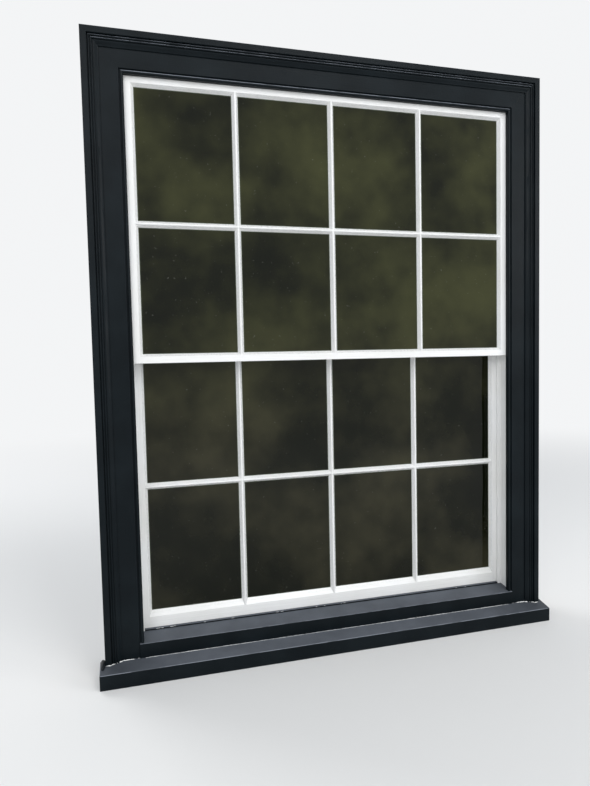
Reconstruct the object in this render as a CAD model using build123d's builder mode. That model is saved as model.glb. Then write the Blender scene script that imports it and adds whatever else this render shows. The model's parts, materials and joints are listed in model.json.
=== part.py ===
from build123d import *
import os
from math import asin, cos, radians, sin, tan

# Box sash window, eight panes over eight, in its own frame.
# Lengths are millimetres. +X is to the right as seen from outside, +Y goes into the room, +Z is up.
# The origin is on the underside of the sub-sill, on the centre line, level with the upper sash's outer face.

os.makedirs("parts", exist_ok=True)

# Glazing
columns = 4
pane_width = 281.0
outer_pane_height = 376.0
inner_pane_height = 365.0
glass_thickness = 3.0
glass_setback = 12.0
glass_edge_gap = 1.5
putty_edge = 0.6
putty_start = 0.4

# Sash members
sash_thickness = 44.0
bar_width = 19.0
bar_web = 4.0
stile_width = 35.0
top_rail_height = 33.0
meeting_rail_height = 27.0
bottom_rail_height = 50.0
bottom_weathering = 17.0
shoulder_depth = 5.0
quirk = 1.2
nose_recess = 6.3
nose_depth = 4.0
ovolo_hollow = 0.28
arris_round = 1.0

# Tracks between the linings and beads
face_gap = 0.4
side_gap = 1.5
head_gap = 1.5
seat_gap = 0.4
parting_bead_thickness = 8.2
parting_bead_projection = 13.0
bead_groove_depth = 6.0
bead_end_gap = 1.0
sash_travel = 740.0

# Meeting rails
meeting_gap = 0.6
meeting_splay = 2.0
meeting_offset = 1.0

# Weight boxes
pulley_stile_thickness = 20.0
weight_space = 58.0
back_lining_thickness = 9.0
head_thickness = 22.0
housing_depth = 6.0
divider_thickness = 6.0
divider_margin = 2.0
divider_foot = 330.0
pocket_height = 480.0
pocket_foot = 95.0
pocket_inset = 1.4
pocket_joint = 0.3

# Linings and beads
outer_lining_thickness = 15.6
lining_overlap = 10.0
edge_bead_diameter = 9.0
edge_quirk_width = 2.5
edge_quirk_depth = 4.5
edge_quirk_side = 1.0
inner_lining_thickness = 14.0
staff_bead_depth = 20.0
staff_bead_projection = 15.0
staff_bead_diameter = 9.0
staff_quirk_width = 2.0
staff_quirk_depth = 3.5

# Architrave, from its inner edge outwards
architrave_offset = 64.0
ogee_foot = 3.0
ogee_width = 13.0
ogee_height = 9.0
ogee_pull = 0.45
reeds = 2
reed_diameter = 5.0
reed_height = 11.0
reed_quirk = 2.0
reed_quirk_floor = 7.0
band_width = 18.0
band_height = 15.0
band_round = 2.5

# Sill and sub-sill
sub_sill_front_height = 44.0
sub_sill_slope = 11.0
sub_sill_nose = 51.0
sub_sill_end = 15.0
sub_sill_return = 10.0
sub_sill_round = 3.0
drip_inset = 14.0
drip_radius = 3.0
sill_proud = 3.0
sill_face_height = 43.0
sill_slope = 7.5
sill_round = 2.0
sill_end_gap = 0.3
bench_front = 8.0
bench_step = 4.0

# Cords, pulleys and weights
cord_diameter = 6.0
cord_inset = 3.0
cord_clearance = 0.3
cord_fixing_drop = 250.0
wheel_groove_width = 14.0
wheel_groove_depth = 8.0
wheel_groove_length = 175.0
cord_groove_width = 8.0
knot_diameter = 13.4
knot_gap = 0.3
knot_cover = 1.0
pulley_drop = 130.0
pulley_pitch_radius = 26.5
pulley_rim = 0.8
pulley_width = 11.0
pulley_web = 4.0
pulley_hub_radius = 7.0
pulley_rim_wall = 4.0
pulley_holes = 5
pulley_hole_radius = 4.0
pin_radius = 3.0
pin_clearance = 0.06
cheek_gap = 0.4
cheek_thickness = 2.2
cheek_half_height = 33.0
cheek_lobe_radius = 14.0
case_web_depth = 14.0
face_plate_width = 26.0
face_plate_height = 104.0
face_plate_thickness = 2.5
face_plate_slot = 48.0
mortise_gap = 0.3
weight_diameter = 43.0
weight_foot_gap = 25.0
upper_weight_length = 557.0
lower_weight_length = 535.0
weight_taper = 6.0
weight_neck_diameter = 24.0
weight_neck_height = 34.0
weight_eye_height = 18.0
weight_eye_floor = 6.0

# Sash fastener
fastener_x = -24.0
base_length = 64.0
base_width = 22.0
base_thickness = 3.0
base_round = 7.0
stud_radius = 3.0
stud_height = 10.0
stud_clearance = 0.06
lever_lift = 0.3
hub_radius = 9.0
hub_height = 5.0
collar_radius = 12.5
collar_height = 7.0
collar_round = 1.5
cone_height = 6.0
neck_radius = 3.5
neck_height = 6.0
knob_radius = 6.3
tongue_reach = 30.0
tongue_width = 12.0
tongue_thickness = 4.0
keep_half_width = 12.0
keep_thickness = 2.0
keep_back = 24.0
keep_post_thickness = 7.5
keep_hook_height = 4.0
keep_post_gap = 1.5
hook_gap = 0.5

# Sash lifts
lift_spacing = 620.0
lift_plate_width = 46.0
lift_plate_height = 21.0
lift_plate_thickness = 2.5
lift_plate_round = 4.0
lift_hook_width = 28.0
lift_hook_rise = 13.0
lift_hook_thickness = 3.0
lift_reach = 23.0
lift_bend = 6.0
lift_lip = 4.0
lift_bead_gap = 1.0

# Widths worked out from the glazing
rebate_depth = (bar_width - bar_web) / 2
pane_pitch = pane_width + bar_width
daylight_half = (columns * pane_width + (columns - 1) * bar_width) / 2
sash_half = daylight_half + stile_width
opening_half = sash_half + side_gap
stile_back = opening_half + pulley_stile_thickness
box_half = stile_back + weight_space + back_lining_thickness
outer_lining_edge = opening_half - lining_overlap
lining_width = box_half - outer_lining_edge
parting_tip = opening_half - parting_bead_projection
bead_zone = edge_bead_diameter + edge_quirk_width + edge_quirk_side
sill_nose_half = outer_lining_edge + bead_zone - sill_end_gap
shoulder = glass_setback + glass_thickness

# Depths, from the upper sash's outer face inwards
lining_back = -face_gap
lining_front = lining_back - outer_lining_thickness
parting_y = sash_thickness + face_gap
lower_face = parting_y + parting_bead_thickness + face_gap
inner_lining_y = lower_face + sash_thickness + face_gap
sill_front = lining_front - sill_proud
sill_back = inner_lining_y + staff_bead_depth
sub_sill_front = sill_front - sub_sill_nose
bench_y = lower_face - bench_front
upper_track = sash_thickness / 2
lower_track = lower_face + sash_thickness / 2

# Heights, from the underside of the sub-sill upwards
bed = sub_sill_front_height + sub_sill_nose * tan(radians(sub_sill_slope))
sill_nose_top = bed + sill_face_height
slope_top = sill_nose_top + (bench_y - sill_front) * tan(radians(sill_slope))
bench_top = slope_top + bench_step
sill_back_top = bench_top + (inner_lining_y - bench_y) * tan(radians(sill_slope))
bench_at_sash = bench_top + (lower_face - bench_y) * tan(radians(sill_slope))
lower_bottom = bench_at_sash + seat_gap
lower_glass_bottom = lower_bottom + bottom_rail_height
glass_height = outer_pane_height + bar_width + inner_pane_height
lower_glass_top = lower_glass_bottom + glass_height
lower_top = lower_glass_top + meeting_rail_height
upper_bottom = lower_glass_top
upper_glass_bottom = lower_top
upper_glass_top = upper_glass_bottom + glass_height
upper_top = upper_glass_top + top_rail_height
soffit = upper_top + head_gap
head_lining_edge = soffit - lining_overlap
pulley_z = soffit - pulley_drop

# Cord and pulley places
cord_x = sash_half - cord_inset
axle_x = cord_x + pulley_pitch_radius
weight_x = axle_x + pulley_pitch_radius


def keep(piece, name):
    """Labels a finished piece and writes it."""
    piece.part.label = name
    export_step(piece.part, f"parts/{name}.step")


def section_plane(x=0.0):
    """Cross-section of the window at x: local x is +Y, local y is +Z."""
    return Plane(origin=(x, 0, 0), x_dir=(0, 1, 0), z_dir=(1, 0, 0))


def upright_edge(x, y, z, side):
    """Section of an upright sash member: local x is depth, local y points away from the glass."""
    return Plane(origin=(x, y, z), x_dir=(0, 1, 0), z_dir=(0, 0, -side))


def level_edge(y, z, side):
    """Section of a level sash member: local x is depth, local y is up for side 1 and down for side -1."""
    return Plane(origin=(0, y, z), x_dir=(0, 1, 0), z_dir=(side, 0, 0))


def upright_trim(x, y, z, side):
    """Section of an upright trim: local x points away from the opening, local y towards the weather."""
    return Plane(origin=(x, y, z), x_dir=(side, 0, 0), z_dir=(0, 0, -side))


def level_trim(y, z, side):
    """Section of a level trim: local x is up for side 1 and down for side -1, local y is to the weather."""
    return Plane(origin=(0, y, z), x_dir=(0, 0, side), z_dir=(side, 0, 0))


def mitre(side, x, z, up=1):
    """Mitre plane through a corner of the opening, with its upper side on the upright."""
    return Plane(origin=(side * x, 0, z), z_dir=(side, 0, -up))


# What the plane takes off the square edge of a sash member: the glass rebate and the ovolo moulding.
with BuildSketch() as edge_cut:
    Rectangle(shoulder, rebate_depth, align=(Align.MIN, Align.MIN))
    with BuildLine():
        ovolo_start = shoulder + shoulder_depth
        ovolo_end = sash_thickness - nose_depth
        ovolo_middle = ((ovolo_start + ovolo_end) / 2, quirk + ovolo_hollow * (nose_recess - quirk))
        Polyline((sash_thickness, nose_recess), (sash_thickness, 0), (ovolo_start, 0), (ovolo_start, quirk))
        ThreePointArc((ovolo_start, quirk), ovolo_middle, (ovolo_end, nose_recess))
        Line((ovolo_end, nose_recess), (sash_thickness, nose_recess))
    make_face()

# Glazing bar: a thin web between the panes outside, an ovolo on both edges inside.
with BuildSketch() as bar_section:
    Rectangle(sash_thickness, bar_width / 2, align=(Align.MIN, Align.MAX))
    with Locations((0, -bar_width / 2)):
        add(edge_cut.sketch, mode=Mode.SUBTRACT)
    mirror(about=Plane.XZ)

# Stile and top rail: a plank with one moulded edge.
with BuildSketch() as stile_section:
    Rectangle(sash_thickness, stile_width, align=(Align.MIN, Align.MIN))
    add(edge_cut.sketch, mode=Mode.SUBTRACT)
    fillet(stile_section.vertices().group_by(Axis.X)[0].sort_by(Axis.Y)[-1], arris_round)

with BuildSketch() as top_rail_section:
    Rectangle(sash_thickness, top_rail_height, align=(Align.MIN, Align.MIN))
    add(edge_cut.sketch, mode=Mode.SUBTRACT)

# Bottom rail: its face is weathered back from the putty line.
with BuildSketch() as bottom_rail_section:
    Rectangle(sash_thickness, bottom_rail_height + sash_thickness, align=(Align.MIN, Align.MIN))
    add(edge_cut.sketch, mode=Mode.SUBTRACT)
    with BuildLine():
        Polyline((0, 0), (glass_setback, 0), (0, bottom_weathering), close=True)
    make_face(mode=Mode.SUBTRACT)

# Meeting rails: they widen across the gap between the sashes and meet on a splayed face.
middle_y = (sash_thickness + lower_face) / 2 + meeting_offset
upper_reach = middle_y - meeting_gap / 2
lower_reach = middle_y + meeting_gap / 2
with BuildSketch() as upper_meeting_section:
    with BuildLine():
        Polyline(
            (0, rebate_depth),
            (shoulder, rebate_depth),
            (shoulder, 0),
            (upper_reach - meeting_splay / 2, 0),
            (upper_reach + meeting_splay / 2, meeting_rail_height),
            (0, meeting_rail_height),
            close=True,
        )
    make_face()

with BuildSketch() as lower_meeting_section:
    Rectangle(sash_thickness, meeting_rail_height, align=(Align.MIN, Align.MIN))
    add(edge_cut.sketch, mode=Mode.SUBTRACT)
    with BuildLine():
        splay_top = lower_reach - meeting_splay / 2 - lower_face
        splay_run = meeting_splay * (1 - rebate_depth / meeting_rail_height)
        Polyline(
            (0, rebate_depth),
            (splay_top + splay_run, rebate_depth),
            (splay_top, meeting_rail_height),
            (0, meeting_rail_height),
            close=True,
        )
    make_face()


def stile(side, face, bottom, top, track):
    """Sash stile with its moulded edge, the cord's groove in its outer edge and the hole for the knot."""
    with BuildPart() as piece:
        with BuildSketch(upright_edge(side * daylight_half, face, (bottom + top) / 2, side)):
            add(stile_section.sketch)
        extrude(amount=(top - bottom) / 2, both=True)
        knot_depth = knot_diameter + knot_cover + knot_gap
        with Locations((side * sash_half, track, top)):
            Box(2 * wheel_groove_depth, wheel_groove_width, 2 * wheel_groove_length, mode=Mode.SUBTRACT)
            Box(2 * knot_depth, cord_groove_width, 2 * cord_fixing_drop, mode=Mode.SUBTRACT)
        knot_z = top - cord_fixing_drop
        with BuildSketch(Plane(origin=(side * sash_half, track, knot_z), z_dir=(-side, 0, 0))):
            Circle(knot_diameter / 2 + knot_gap)
        extrude(amount=knot_depth, mode=Mode.SUBTRACT)
    return piece.part


def rail(section, face, edge_z, side, half_length):
    """Level sash member between the stiles, before its ends are scribed."""
    with BuildPart() as piece:
        with BuildSketch(level_edge(face, edge_z, side)):
            add(section)
        extrude(amount=half_length, both=True)
    return piece.part


def scribed(blank, *over):
    """The blank with its ends cut to fit over the pieces that it meets."""
    with BuildPart() as piece:
        add(blank)
        for neighbour in over:
            add(neighbour, mode=Mode.SUBTRACT)
    return piece


def upright_bars(face, bottom, top, *rails):
    """The upright glazing bars, scribed onto the rails above and below."""
    with BuildPart() as piece:
        for column in range(1, columns):
            x = column * pane_pitch - columns * pane_pitch / 2
            with BuildSketch(upright_edge(x, face, (bottom + top) / 2, 1)):
                add(bar_section.sketch)
        extrude(amount=(top - bottom) / 2, both=True)
        for neighbour in rails:
            add(neighbour, mode=Mode.SUBTRACT)
    return piece


def cross_bar(face, centre_z, *uprights):
    """The cross bar in its lengths, scribed onto the stiles and the upright bars."""
    with BuildPart() as piece:
        with BuildSketch(level_edge(face, centre_z, 1)):
            add(bar_section.sketch)
        extrude(amount=daylight_half + rebate_depth, both=True)
        for neighbour in uprights:
            add(neighbour, mode=Mode.SUBTRACT)
    return piece


def pane_centres(rows):
    """Centre and height of each pane's clear opening, as (x, z, height)."""
    centres = []
    for z, height in rows:
        for column in range(columns):
            centres.append(((column - (columns - 1) / 2) * pane_pitch, z, height))
    return centres


def panes(face, rows):
    """The glass, one plate for each opening, lying against the rebate's shoulder."""
    lap = 2 * (rebate_depth - glass_edge_gap)
    with BuildPart() as piece:
        for x, z, height in pane_centres(rows):
            with Locations((x, face + glass_setback + glass_thickness / 2, z)):
                Box(pane_width + lap, glass_thickness, height + lap)
    return piece


def putty(face, rows, foot_spread=rebate_depth):
    """Bevelled putty round each pane, from the glass to the face; foot_spread is the lowest bevel's reach."""
    depth = glass_setback - putty_start
    lap = rebate_depth - putty_edge
    with BuildPart() as piece:
        for x, z, height in pane_centres(rows):
            spread = foot_spread if z == min(row[0] for row in rows) else rebate_depth
            foot = spread * depth / glass_setback if spread > rebate_depth else lap
            front = Plane(origin=(x, face + putty_start, z), x_dir=(1, 0, 0), z_dir=(0, -1, 0))
            glass = front.offset(-depth)
            with BuildSketch(glass):
                with Locations((0, (rebate_depth - spread) / 2)):
                    Rectangle(pane_width + 2 * rebate_depth, height + rebate_depth + spread)
            extrude(amount=depth)
            with BuildSketch(glass):
                Rectangle(pane_width, height)
            with BuildSketch(front):
                with Locations((0, (lap - foot) / 2)):
                    Rectangle(pane_width + 2 * lap, height + lap + foot)
            loft(mode=Mode.SUBTRACT)
    return piece


# Sub-sill: sloping nose in front, ends that lap past the architraves, drip groove under the nose.
architrave_width = ogee_width + (reeds + 1) * reed_quirk + reeds * reed_diameter + band_width
casing_half = outer_lining_edge + architrave_offset + architrave_width
with BuildPart() as sub_sill:
    with BuildSketch(section_plane()):
        with BuildLine():
            Polyline(
                (sub_sill_front, 0),
                (sub_sill_front, sub_sill_front_height),
                (sill_front, bed),
                (inner_lining_y, bed),
                (inner_lining_y, 0),
                close=True,
            )
        make_face()
    extrude(amount=casing_half + sub_sill_end, both=True)
    for side in (-1, 1):
        with Locations((side * box_half, lining_front + sub_sill_return, 0)):
            notch_align = (Align.MIN if side == 1 else Align.MAX, Align.MIN, Align.MIN)
            Box(casing_half, sill_back - lining_front, sill_nose_top, align=notch_align, mode=Mode.SUBTRACT)
    with Locations((0, sub_sill_front + drip_inset, 0)):
        Cylinder(drip_radius, 2 * casing_half, rotation=(0, 90, 0), mode=Mode.SUBTRACT)
    front = sub_sill.edges().filter_by(Axis.X).group_by(Axis.Y)[0]
    fillet(front.sort_by(Axis.Z)[-1], sub_sill_round)
    fillet(sub_sill.edges().filter_by(Axis.Z).group_by(Axis.Y)[0], sub_sill_round)
keep(sub_sill, "sub_sill")

# Sill: weathered top with a raised bench under the bottom rail, its nose let in between the linings.
with BuildPart() as sill:
    for half, front in ((sill_nose_half, sill_front), (box_half, lining_back)):
        front_top = sill_nose_top + (front - sill_front) * tan(radians(sill_slope))
        with BuildSketch(section_plane()):
            with BuildLine():
                Polyline(
                    (front, bed),
                    (front, front_top),
                    (bench_y, slope_top),
                    (bench_y, bench_top),
                    (inner_lining_y, sill_back_top),
                    (sill_back, sill_back_top),
                    (sill_back, bed),
                    close=True,
                )
            make_face()
        extrude(amount=half, both=True)
    nose = sill.edges().filter_by(Axis.X).group_by(Axis.Y)[0]
    fillet(nose.sort_by(Axis.Z)[-1], sill_round)
keep(sill, "sill")

# Head board: housed for the pulley stiles, grooved for the parting bead.
box_depth = inner_lining_y - lining_back
box_y = (inner_lining_y + lining_back) / 2
upwards = (Align.CENTER, Align.CENTER, Align.MIN)
with BuildPart() as head_board:
    with Locations((0, box_y, soffit)):
        Box(2 * box_half, box_depth, head_thickness, align=upwards)
    for side in (-1, 1):
        with Locations((side * (opening_half + stile_back) / 2, box_y, soffit)):
            Box(pulley_stile_thickness, 2 * inner_lining_y, 2 * housing_depth, mode=Mode.SUBTRACT)
    with Locations((0, parting_y + parting_bead_thickness / 2, soffit)):
        Box(2 * opening_half, parting_bead_thickness, 2 * bead_groove_depth, mode=Mode.SUBTRACT)
keep(head_board, "head_board")

# Pulley stiles: the cheeks of the opening, with the bead groove, the mortises for the pulleys and the pocket.
pocket_z = sill_back_top + pocket_foot + pocket_height / 2
pocket_depth = inner_lining_y - parting_y - parting_bead_thickness - 2 * pocket_inset - face_gap
pocket_y = parting_y + parting_bead_thickness + pocket_inset + pocket_depth / 2
case_half_width = pulley_width / 2 + cheek_gap + cheek_thickness
for side, hand in ((-1, "left"), (1, "right")):
    with BuildPart() as pulley_stile:
        with Locations((side * opening_half, lining_back, bed)):
            stile_align = (Align.MIN if side == 1 else Align.MAX, Align.MIN, Align.MIN)
            Box(pulley_stile_thickness, box_depth, soffit + housing_depth - bed, align=stile_align)
        add(sill.part, mode=Mode.SUBTRACT)
        with Locations((side * opening_half, parting_y + parting_bead_thickness / 2, soffit)):
            Box(2 * bead_groove_depth, parting_bead_thickness, 2 * soffit, mode=Mode.SUBTRACT)
        with Locations((side * (opening_half + stile_back) / 2, pocket_y, pocket_z)):
            Box(2 * pulley_stile_thickness, pocket_depth, pocket_height, mode=Mode.SUBTRACT)
        for track in (upper_track, lower_track):
            with Locations((side * opening_half, track, pulley_z)):
                Box(2 * face_plate_thickness, face_plate_width, face_plate_height, mode=Mode.SUBTRACT)
                Box(
                    3 * pulley_stile_thickness,
                    2 * (case_half_width + mortise_gap),
                    2 * (cheek_half_height + mortise_gap),
                    mode=Mode.SUBTRACT,
                )
    keep(pulley_stile, f"pulley_stile_{hand}")

# Pocket covers: the loose pieces of the pulley stiles through which the weights go in.
with BuildPart() as pocket_covers:
    for side in (-1, 1):
        with Locations((side * (opening_half + stile_back) / 2, pocket_y, pocket_z)):
            Box(pulley_stile_thickness, pocket_depth - 2 * pocket_joint, pocket_height - 2 * pocket_joint)
keep(pocket_covers, "pocket_covers")

# Back linings: they close the weight boxes towards the wall.
with BuildPart() as back_linings:
    for side in (-1, 1):
        with Locations((side * (box_half - back_lining_thickness / 2), box_y, bed)):
            Box(back_lining_thickness, box_depth, soffit - bed, align=upwards)
    add(sill.part, mode=Mode.SUBTRACT)
keep(back_linings, "back_linings")

# Weight dividers: thin boards hung from the head, so that the two weights of a box can't foul each other.
with BuildPart() as weight_dividers:
    for side in (-1, 1):
        divider_x = side * (stile_back + weight_space / 2)
        with Locations((divider_x, parting_y + parting_bead_thickness / 2, divider_foot)):
            divider_width = weight_space - 2 * divider_margin
            Box(divider_width, divider_thickness, soffit - divider_foot, align=upwards)
keep(weight_dividers, "weight_dividers")

# Outer lining: a flat board with a quirked bead stuck on its inner edge.
with BuildSketch() as outer_lining_section:
    with BuildLine():
        bead_radius = edge_bead_diameter / 2
        quirk_floor = outer_lining_thickness - edge_quirk_depth
        Line((0, 0), (0, outer_lining_thickness - bead_radius))
        ThreePointArc(
            (0, outer_lining_thickness - bead_radius),
            (bead_radius, outer_lining_thickness),
            (edge_bead_diameter, outer_lining_thickness - bead_radius),
        )
        Polyline(
            (edge_bead_diameter, outer_lining_thickness - bead_radius),
            (edge_bead_diameter + edge_quirk_width, quirk_floor),
            (bead_zone, outer_lining_thickness),
            (lining_width, outer_lining_thickness),
            (lining_width, 0),
            (0, 0),
        )
    make_face()

# Architrave: from the opening outwards an ogee, reeds between quirks and a flat back band.
with BuildSketch() as architrave_section:
    with BuildLine():
        reed_radius = reed_diameter / 2
        reed_base = reed_height - reed_radius
        Line((0, 0), (0, ogee_foot))
        Bezier(
            (0, ogee_foot),
            (ogee_width * ogee_pull, ogee_foot),
            (ogee_width * ogee_pull, ogee_height),
            (ogee_width, ogee_height),
        )
        at = ogee_width
        Line((at, ogee_height), (at, reed_quirk_floor))
        for reed in range(reeds):
            Line((at, reed_quirk_floor), (at + reed_quirk, reed_quirk_floor))
            at += reed_quirk
            Line((at, reed_quirk_floor), (at, reed_base))
            ThreePointArc((at, reed_base), (at + reed_radius, reed_height), (at + reed_diameter, reed_base))
            at += reed_diameter
            Line((at, reed_base), (at, reed_quirk_floor))
        Polyline(
            (at, reed_quirk_floor),
            (at + reed_quirk, reed_quirk_floor),
            (at + reed_quirk, band_height),
            (architrave_width, band_height),
            (architrave_width, 0),
            (0, 0),
        )
    make_face()
    fillet(architrave_section.vertices().group_by(Axis.Y)[-1], band_round / 2)

# Inner lining: a plain board, flush with the face of the pulley stile.
with BuildSketch() as inner_lining_section:
    Rectangle(box_half - opening_half, inner_lining_thickness, align=(Align.MIN, Align.MAX))

# Staff bead: a batten with a quirked bead on its free corner.
with BuildSketch() as staff_bead_section:
    with BuildLine():
        bead_radius = staff_bead_diameter / 2
        Polyline((staff_bead_projection, 0), (0, 0), (0, bead_radius - staff_bead_depth))
        ThreePointArc(
            (0, bead_radius - staff_bead_depth),
            (bead_radius, -staff_bead_depth),
            (staff_bead_diameter, bead_radius - staff_bead_depth),
        )
        Polyline(
            (staff_bead_diameter, bead_radius - staff_bead_depth),
            (staff_bead_diameter, staff_quirk_depth - staff_bead_depth),
            (staff_bead_diameter + staff_quirk_width, staff_quirk_depth - staff_bead_depth),
            (staff_bead_diameter + staff_quirk_width, -staff_bead_depth),
            (staff_bead_projection, -staff_bead_depth),
            (staff_bead_projection, 0),
        )
    make_face()


def trim_set(section, name, edge_x, edge_z, y, foot, *seats, sill_edge=None):
    """Trim round the opening, mitred at the corners: uprights, a head and, with sill_edge, a foot piece."""
    reach = architrave_offset + architrave_width
    top = edge_z + reach
    for side, hand in ((-1, "left"), (1, "right")):
        with BuildPart() as upright:
            with BuildSketch(upright_trim(side * edge_x, y, (foot + top) / 2, side)):
                add(section)
            extrude(amount=(top - foot) / 2, both=True)
            split(bisect_by=mitre(side, edge_x, edge_z), keep=Keep.TOP)
            if sill_edge is not None:
                split(bisect_by=mitre(side, edge_x, sill_edge, up=-1), keep=Keep.TOP)
            for seat in seats:
                add(seat, mode=Mode.SUBTRACT)
        keep(upright, f"{name}_{hand}")
    levels = [("head", edge_z, 1)]
    if sill_edge is not None:
        levels.append(("sill", sill_edge, -1))
    for place, z, up in levels:
        with BuildPart() as level:
            with BuildSketch(level_trim(y, z, up)):
                add(section)
            extrude(amount=edge_x + reach, both=True)
            for side in (-1, 1):
                split(bisect_by=mitre(side, edge_x, z, up=up), keep=Keep.BOTTOM)
        keep(level, f"{name}_{place}")


trim_set(outer_lining_section.sketch, "outer_lining", outer_lining_edge, head_lining_edge, lining_back, 0,
         sub_sill.part, sill.part)
trim_set(architrave_section.sketch, "architrave", outer_lining_edge + architrave_offset,
         head_lining_edge + architrave_offset, lining_front, 0, sub_sill.part)
trim_set(inner_lining_section.sketch, "inner_lining", opening_half, soffit, inner_lining_y, sill_back_top)
trim_set(staff_bead_section.sketch, "staff_bead", opening_half - staff_bead_projection,
         soffit - staff_bead_projection, inner_lining_y, 0, sill_edge=sill_back_top + staff_bead_projection)

# Parting beads: let into grooves in the pulley stiles and the head, between the two tracks.
parting_width = parting_bead_projection + bead_groove_depth
with BuildSketch() as parting_section:
    Rectangle(parting_width, parting_bead_thickness, align=(Align.MIN, Align.MAX))
    fillet(parting_section.vertices().group_by(Axis.X)[0], arris_round)
for side, hand in ((-1, "left"), (1, "right")):
    with BuildPart() as parting_bead:
        with BuildSketch(upright_trim(side * parting_tip, parting_y, (bed + soffit) / 2, side)):
            add(parting_section.sketch)
        extrude(amount=(soffit - bed) / 2, both=True)
        add(sill.part, mode=Mode.SUBTRACT)
    keep(parting_bead, f"parting_bead_{hand}")
with BuildPart() as parting_bead_head:
    with BuildSketch(level_trim(parting_y, soffit - parting_bead_projection, 1)):
        add(parting_section.sketch)
    extrude(amount=parting_tip, both=True)
keep(parting_bead_head, "parting_bead_head")

# Upper sash
upper_bar_z = upper_glass_bottom + inner_pane_height + bar_width / 2
upper_rows = (
    (upper_glass_bottom + inner_pane_height / 2, inner_pane_height),
    (upper_glass_top - outer_pane_height / 2, outer_pane_height),
)
rail_half = daylight_half + rebate_depth
upper_stiles = [stile(side, 0, upper_bottom, upper_top, upper_track) for side in (-1, 1)]
for blank, hand in zip(upper_stiles, ("left", "right")):
    keep(scribed(blank), f"upper_stile_{hand}")
upper_top_rail = scribed(rail(top_rail_section.sketch, 0, upper_glass_top, 1, rail_half), *upper_stiles)
keep(upper_top_rail, "upper_top_rail")
with BuildPart() as upper_meeting_rail:
    with BuildSketch(level_edge(0, upper_glass_bottom, -1)):
        add(upper_meeting_section.sketch)
    extrude(amount=parting_tip - bead_end_gap, both=True)
    for blank in upper_stiles:
        add(blank, mode=Mode.SUBTRACT)
keep(upper_meeting_rail, "upper_meeting_rail")
upper_upright_bars = upright_bars(
    0,
    upper_glass_bottom - rebate_depth,
    upper_glass_top + rebate_depth,
    upper_top_rail.part,
    upper_meeting_rail.part,
)
keep(upper_upright_bars, "upper_upright_bars")
upper_cross_bar = cross_bar(0, upper_bar_z, *upper_stiles, upper_upright_bars.part)
keep(upper_cross_bar, "upper_cross_bar")
keep(panes(0, upper_rows), "upper_panes")
keep(putty(0, upper_rows), "upper_putty")

# Lower sash: its foot is bevelled to lie on the bench of the sill.
lower_bar_z = lower_glass_bottom + outer_pane_height + bar_width / 2
lower_rows = (
    (lower_glass_bottom + outer_pane_height / 2, outer_pane_height),
    (lower_glass_top - inner_pane_height / 2, inner_pane_height),
)
with BuildPart() as bench_clearance:
    with BuildSketch(section_plane()):
        with BuildLine():
            Polyline(
                (bench_y, bench_top + seat_gap),
                (inner_lining_y, sill_back_top + seat_gap),
                (inner_lining_y, 0),
                (bench_y, 0),
                close=True,
            )
        make_face()
    extrude(amount=sash_half + side_gap, both=True)
lower_blanks = [stile(side, lower_face, bed, lower_top, lower_track) for side in (-1, 1)]
lower_stiles = [scribed(blank, bench_clearance.part).part for blank in lower_blanks]
for blank, hand in zip(lower_stiles, ("left", "right")):
    keep(scribed(blank), f"lower_stile_{hand}")
lower_bottom_rail = scribed(
    rail(bottom_rail_section.sketch, lower_face, lower_glass_bottom, -1, rail_half),
    *lower_stiles,
    bench_clearance.part,
)
keep(lower_bottom_rail, "lower_bottom_rail")
with BuildPart() as lower_meeting_rail:
    with BuildSketch(level_edge(lower_face, lower_glass_top, 1)):
        add(lower_meeting_section.sketch)
    extrude(amount=parting_tip - bead_end_gap, both=True)
    for blank in lower_stiles:
        add(blank, mode=Mode.SUBTRACT)
keep(lower_meeting_rail, "lower_meeting_rail")
lower_upright_bars = upright_bars(
    lower_face,
    lower_glass_bottom - bottom_weathering,
    lower_glass_top + rebate_depth,
    lower_bottom_rail.part,
    lower_meeting_rail.part,
)
keep(lower_upright_bars, "lower_upright_bars")
lower_cross_bar = cross_bar(lower_face, lower_bar_z, *lower_stiles, lower_upright_bars.part)
keep(lower_cross_bar, "lower_cross_bar")
keep(panes(lower_face, lower_rows), "lower_panes")
keep(scribed(putty(lower_face, lower_rows, bottom_weathering).part, lower_bottom_rail.part), "lower_putty")

# Pulley cases: a face plate let into the pulley stile, with two lobed cheeks that carry the axle pin.
with BuildPart() as pulley_cases:
    for side in (-1, 1):
        for track in (upper_track, lower_track):
            plate_x = side * (opening_half + face_plate_thickness / 2)
            with Locations((plate_x, track, pulley_z)):
                Box(face_plate_thickness, face_plate_width, face_plate_height)
            for cheek in (-1, 1):
                cheek_y = track + cheek * (case_half_width - cheek_thickness / 2)
                with BuildSketch(Plane(origin=(0, cheek_y, pulley_z), x_dir=(1, 0, 0), z_dir=(0, -1, 0))):
                    cheek_depth = axle_x - opening_half - face_plate_thickness
                    with Locations((side * (axle_x - cheek_depth / 2), 0)):
                        Rectangle(cheek_depth, 2 * cheek_lobe_radius)
                    with Locations((side * axle_x, 0)):
                        Circle(cheek_lobe_radius)
                    with Locations((side * (opening_half + face_plate_thickness + case_web_depth / 2), 0)):
                        Rectangle(case_web_depth, 2 * cheek_half_height)
                    with Locations((side * axle_x, 0)):
                        Circle(pin_radius, mode=Mode.SUBTRACT)
                extrude(amount=cheek_thickness / 2, both=True)
            web_x = side * (opening_half + face_plate_thickness + case_web_depth / 2)
            for end in (-1, 1):
                with Locations((web_x, track, pulley_z + end * (cheek_half_height - cheek_thickness / 2))):
                    Box(case_web_depth, 2 * case_half_width, cheek_thickness)
            with Locations((plate_x, track, pulley_z)):
                slot_width = pulley_width + 2 * cheek_gap
                Box(2 * face_plate_thickness, slot_width, face_plate_slot, mode=Mode.SUBTRACT)
keep(pulley_cases, "pulley_cases")

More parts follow.
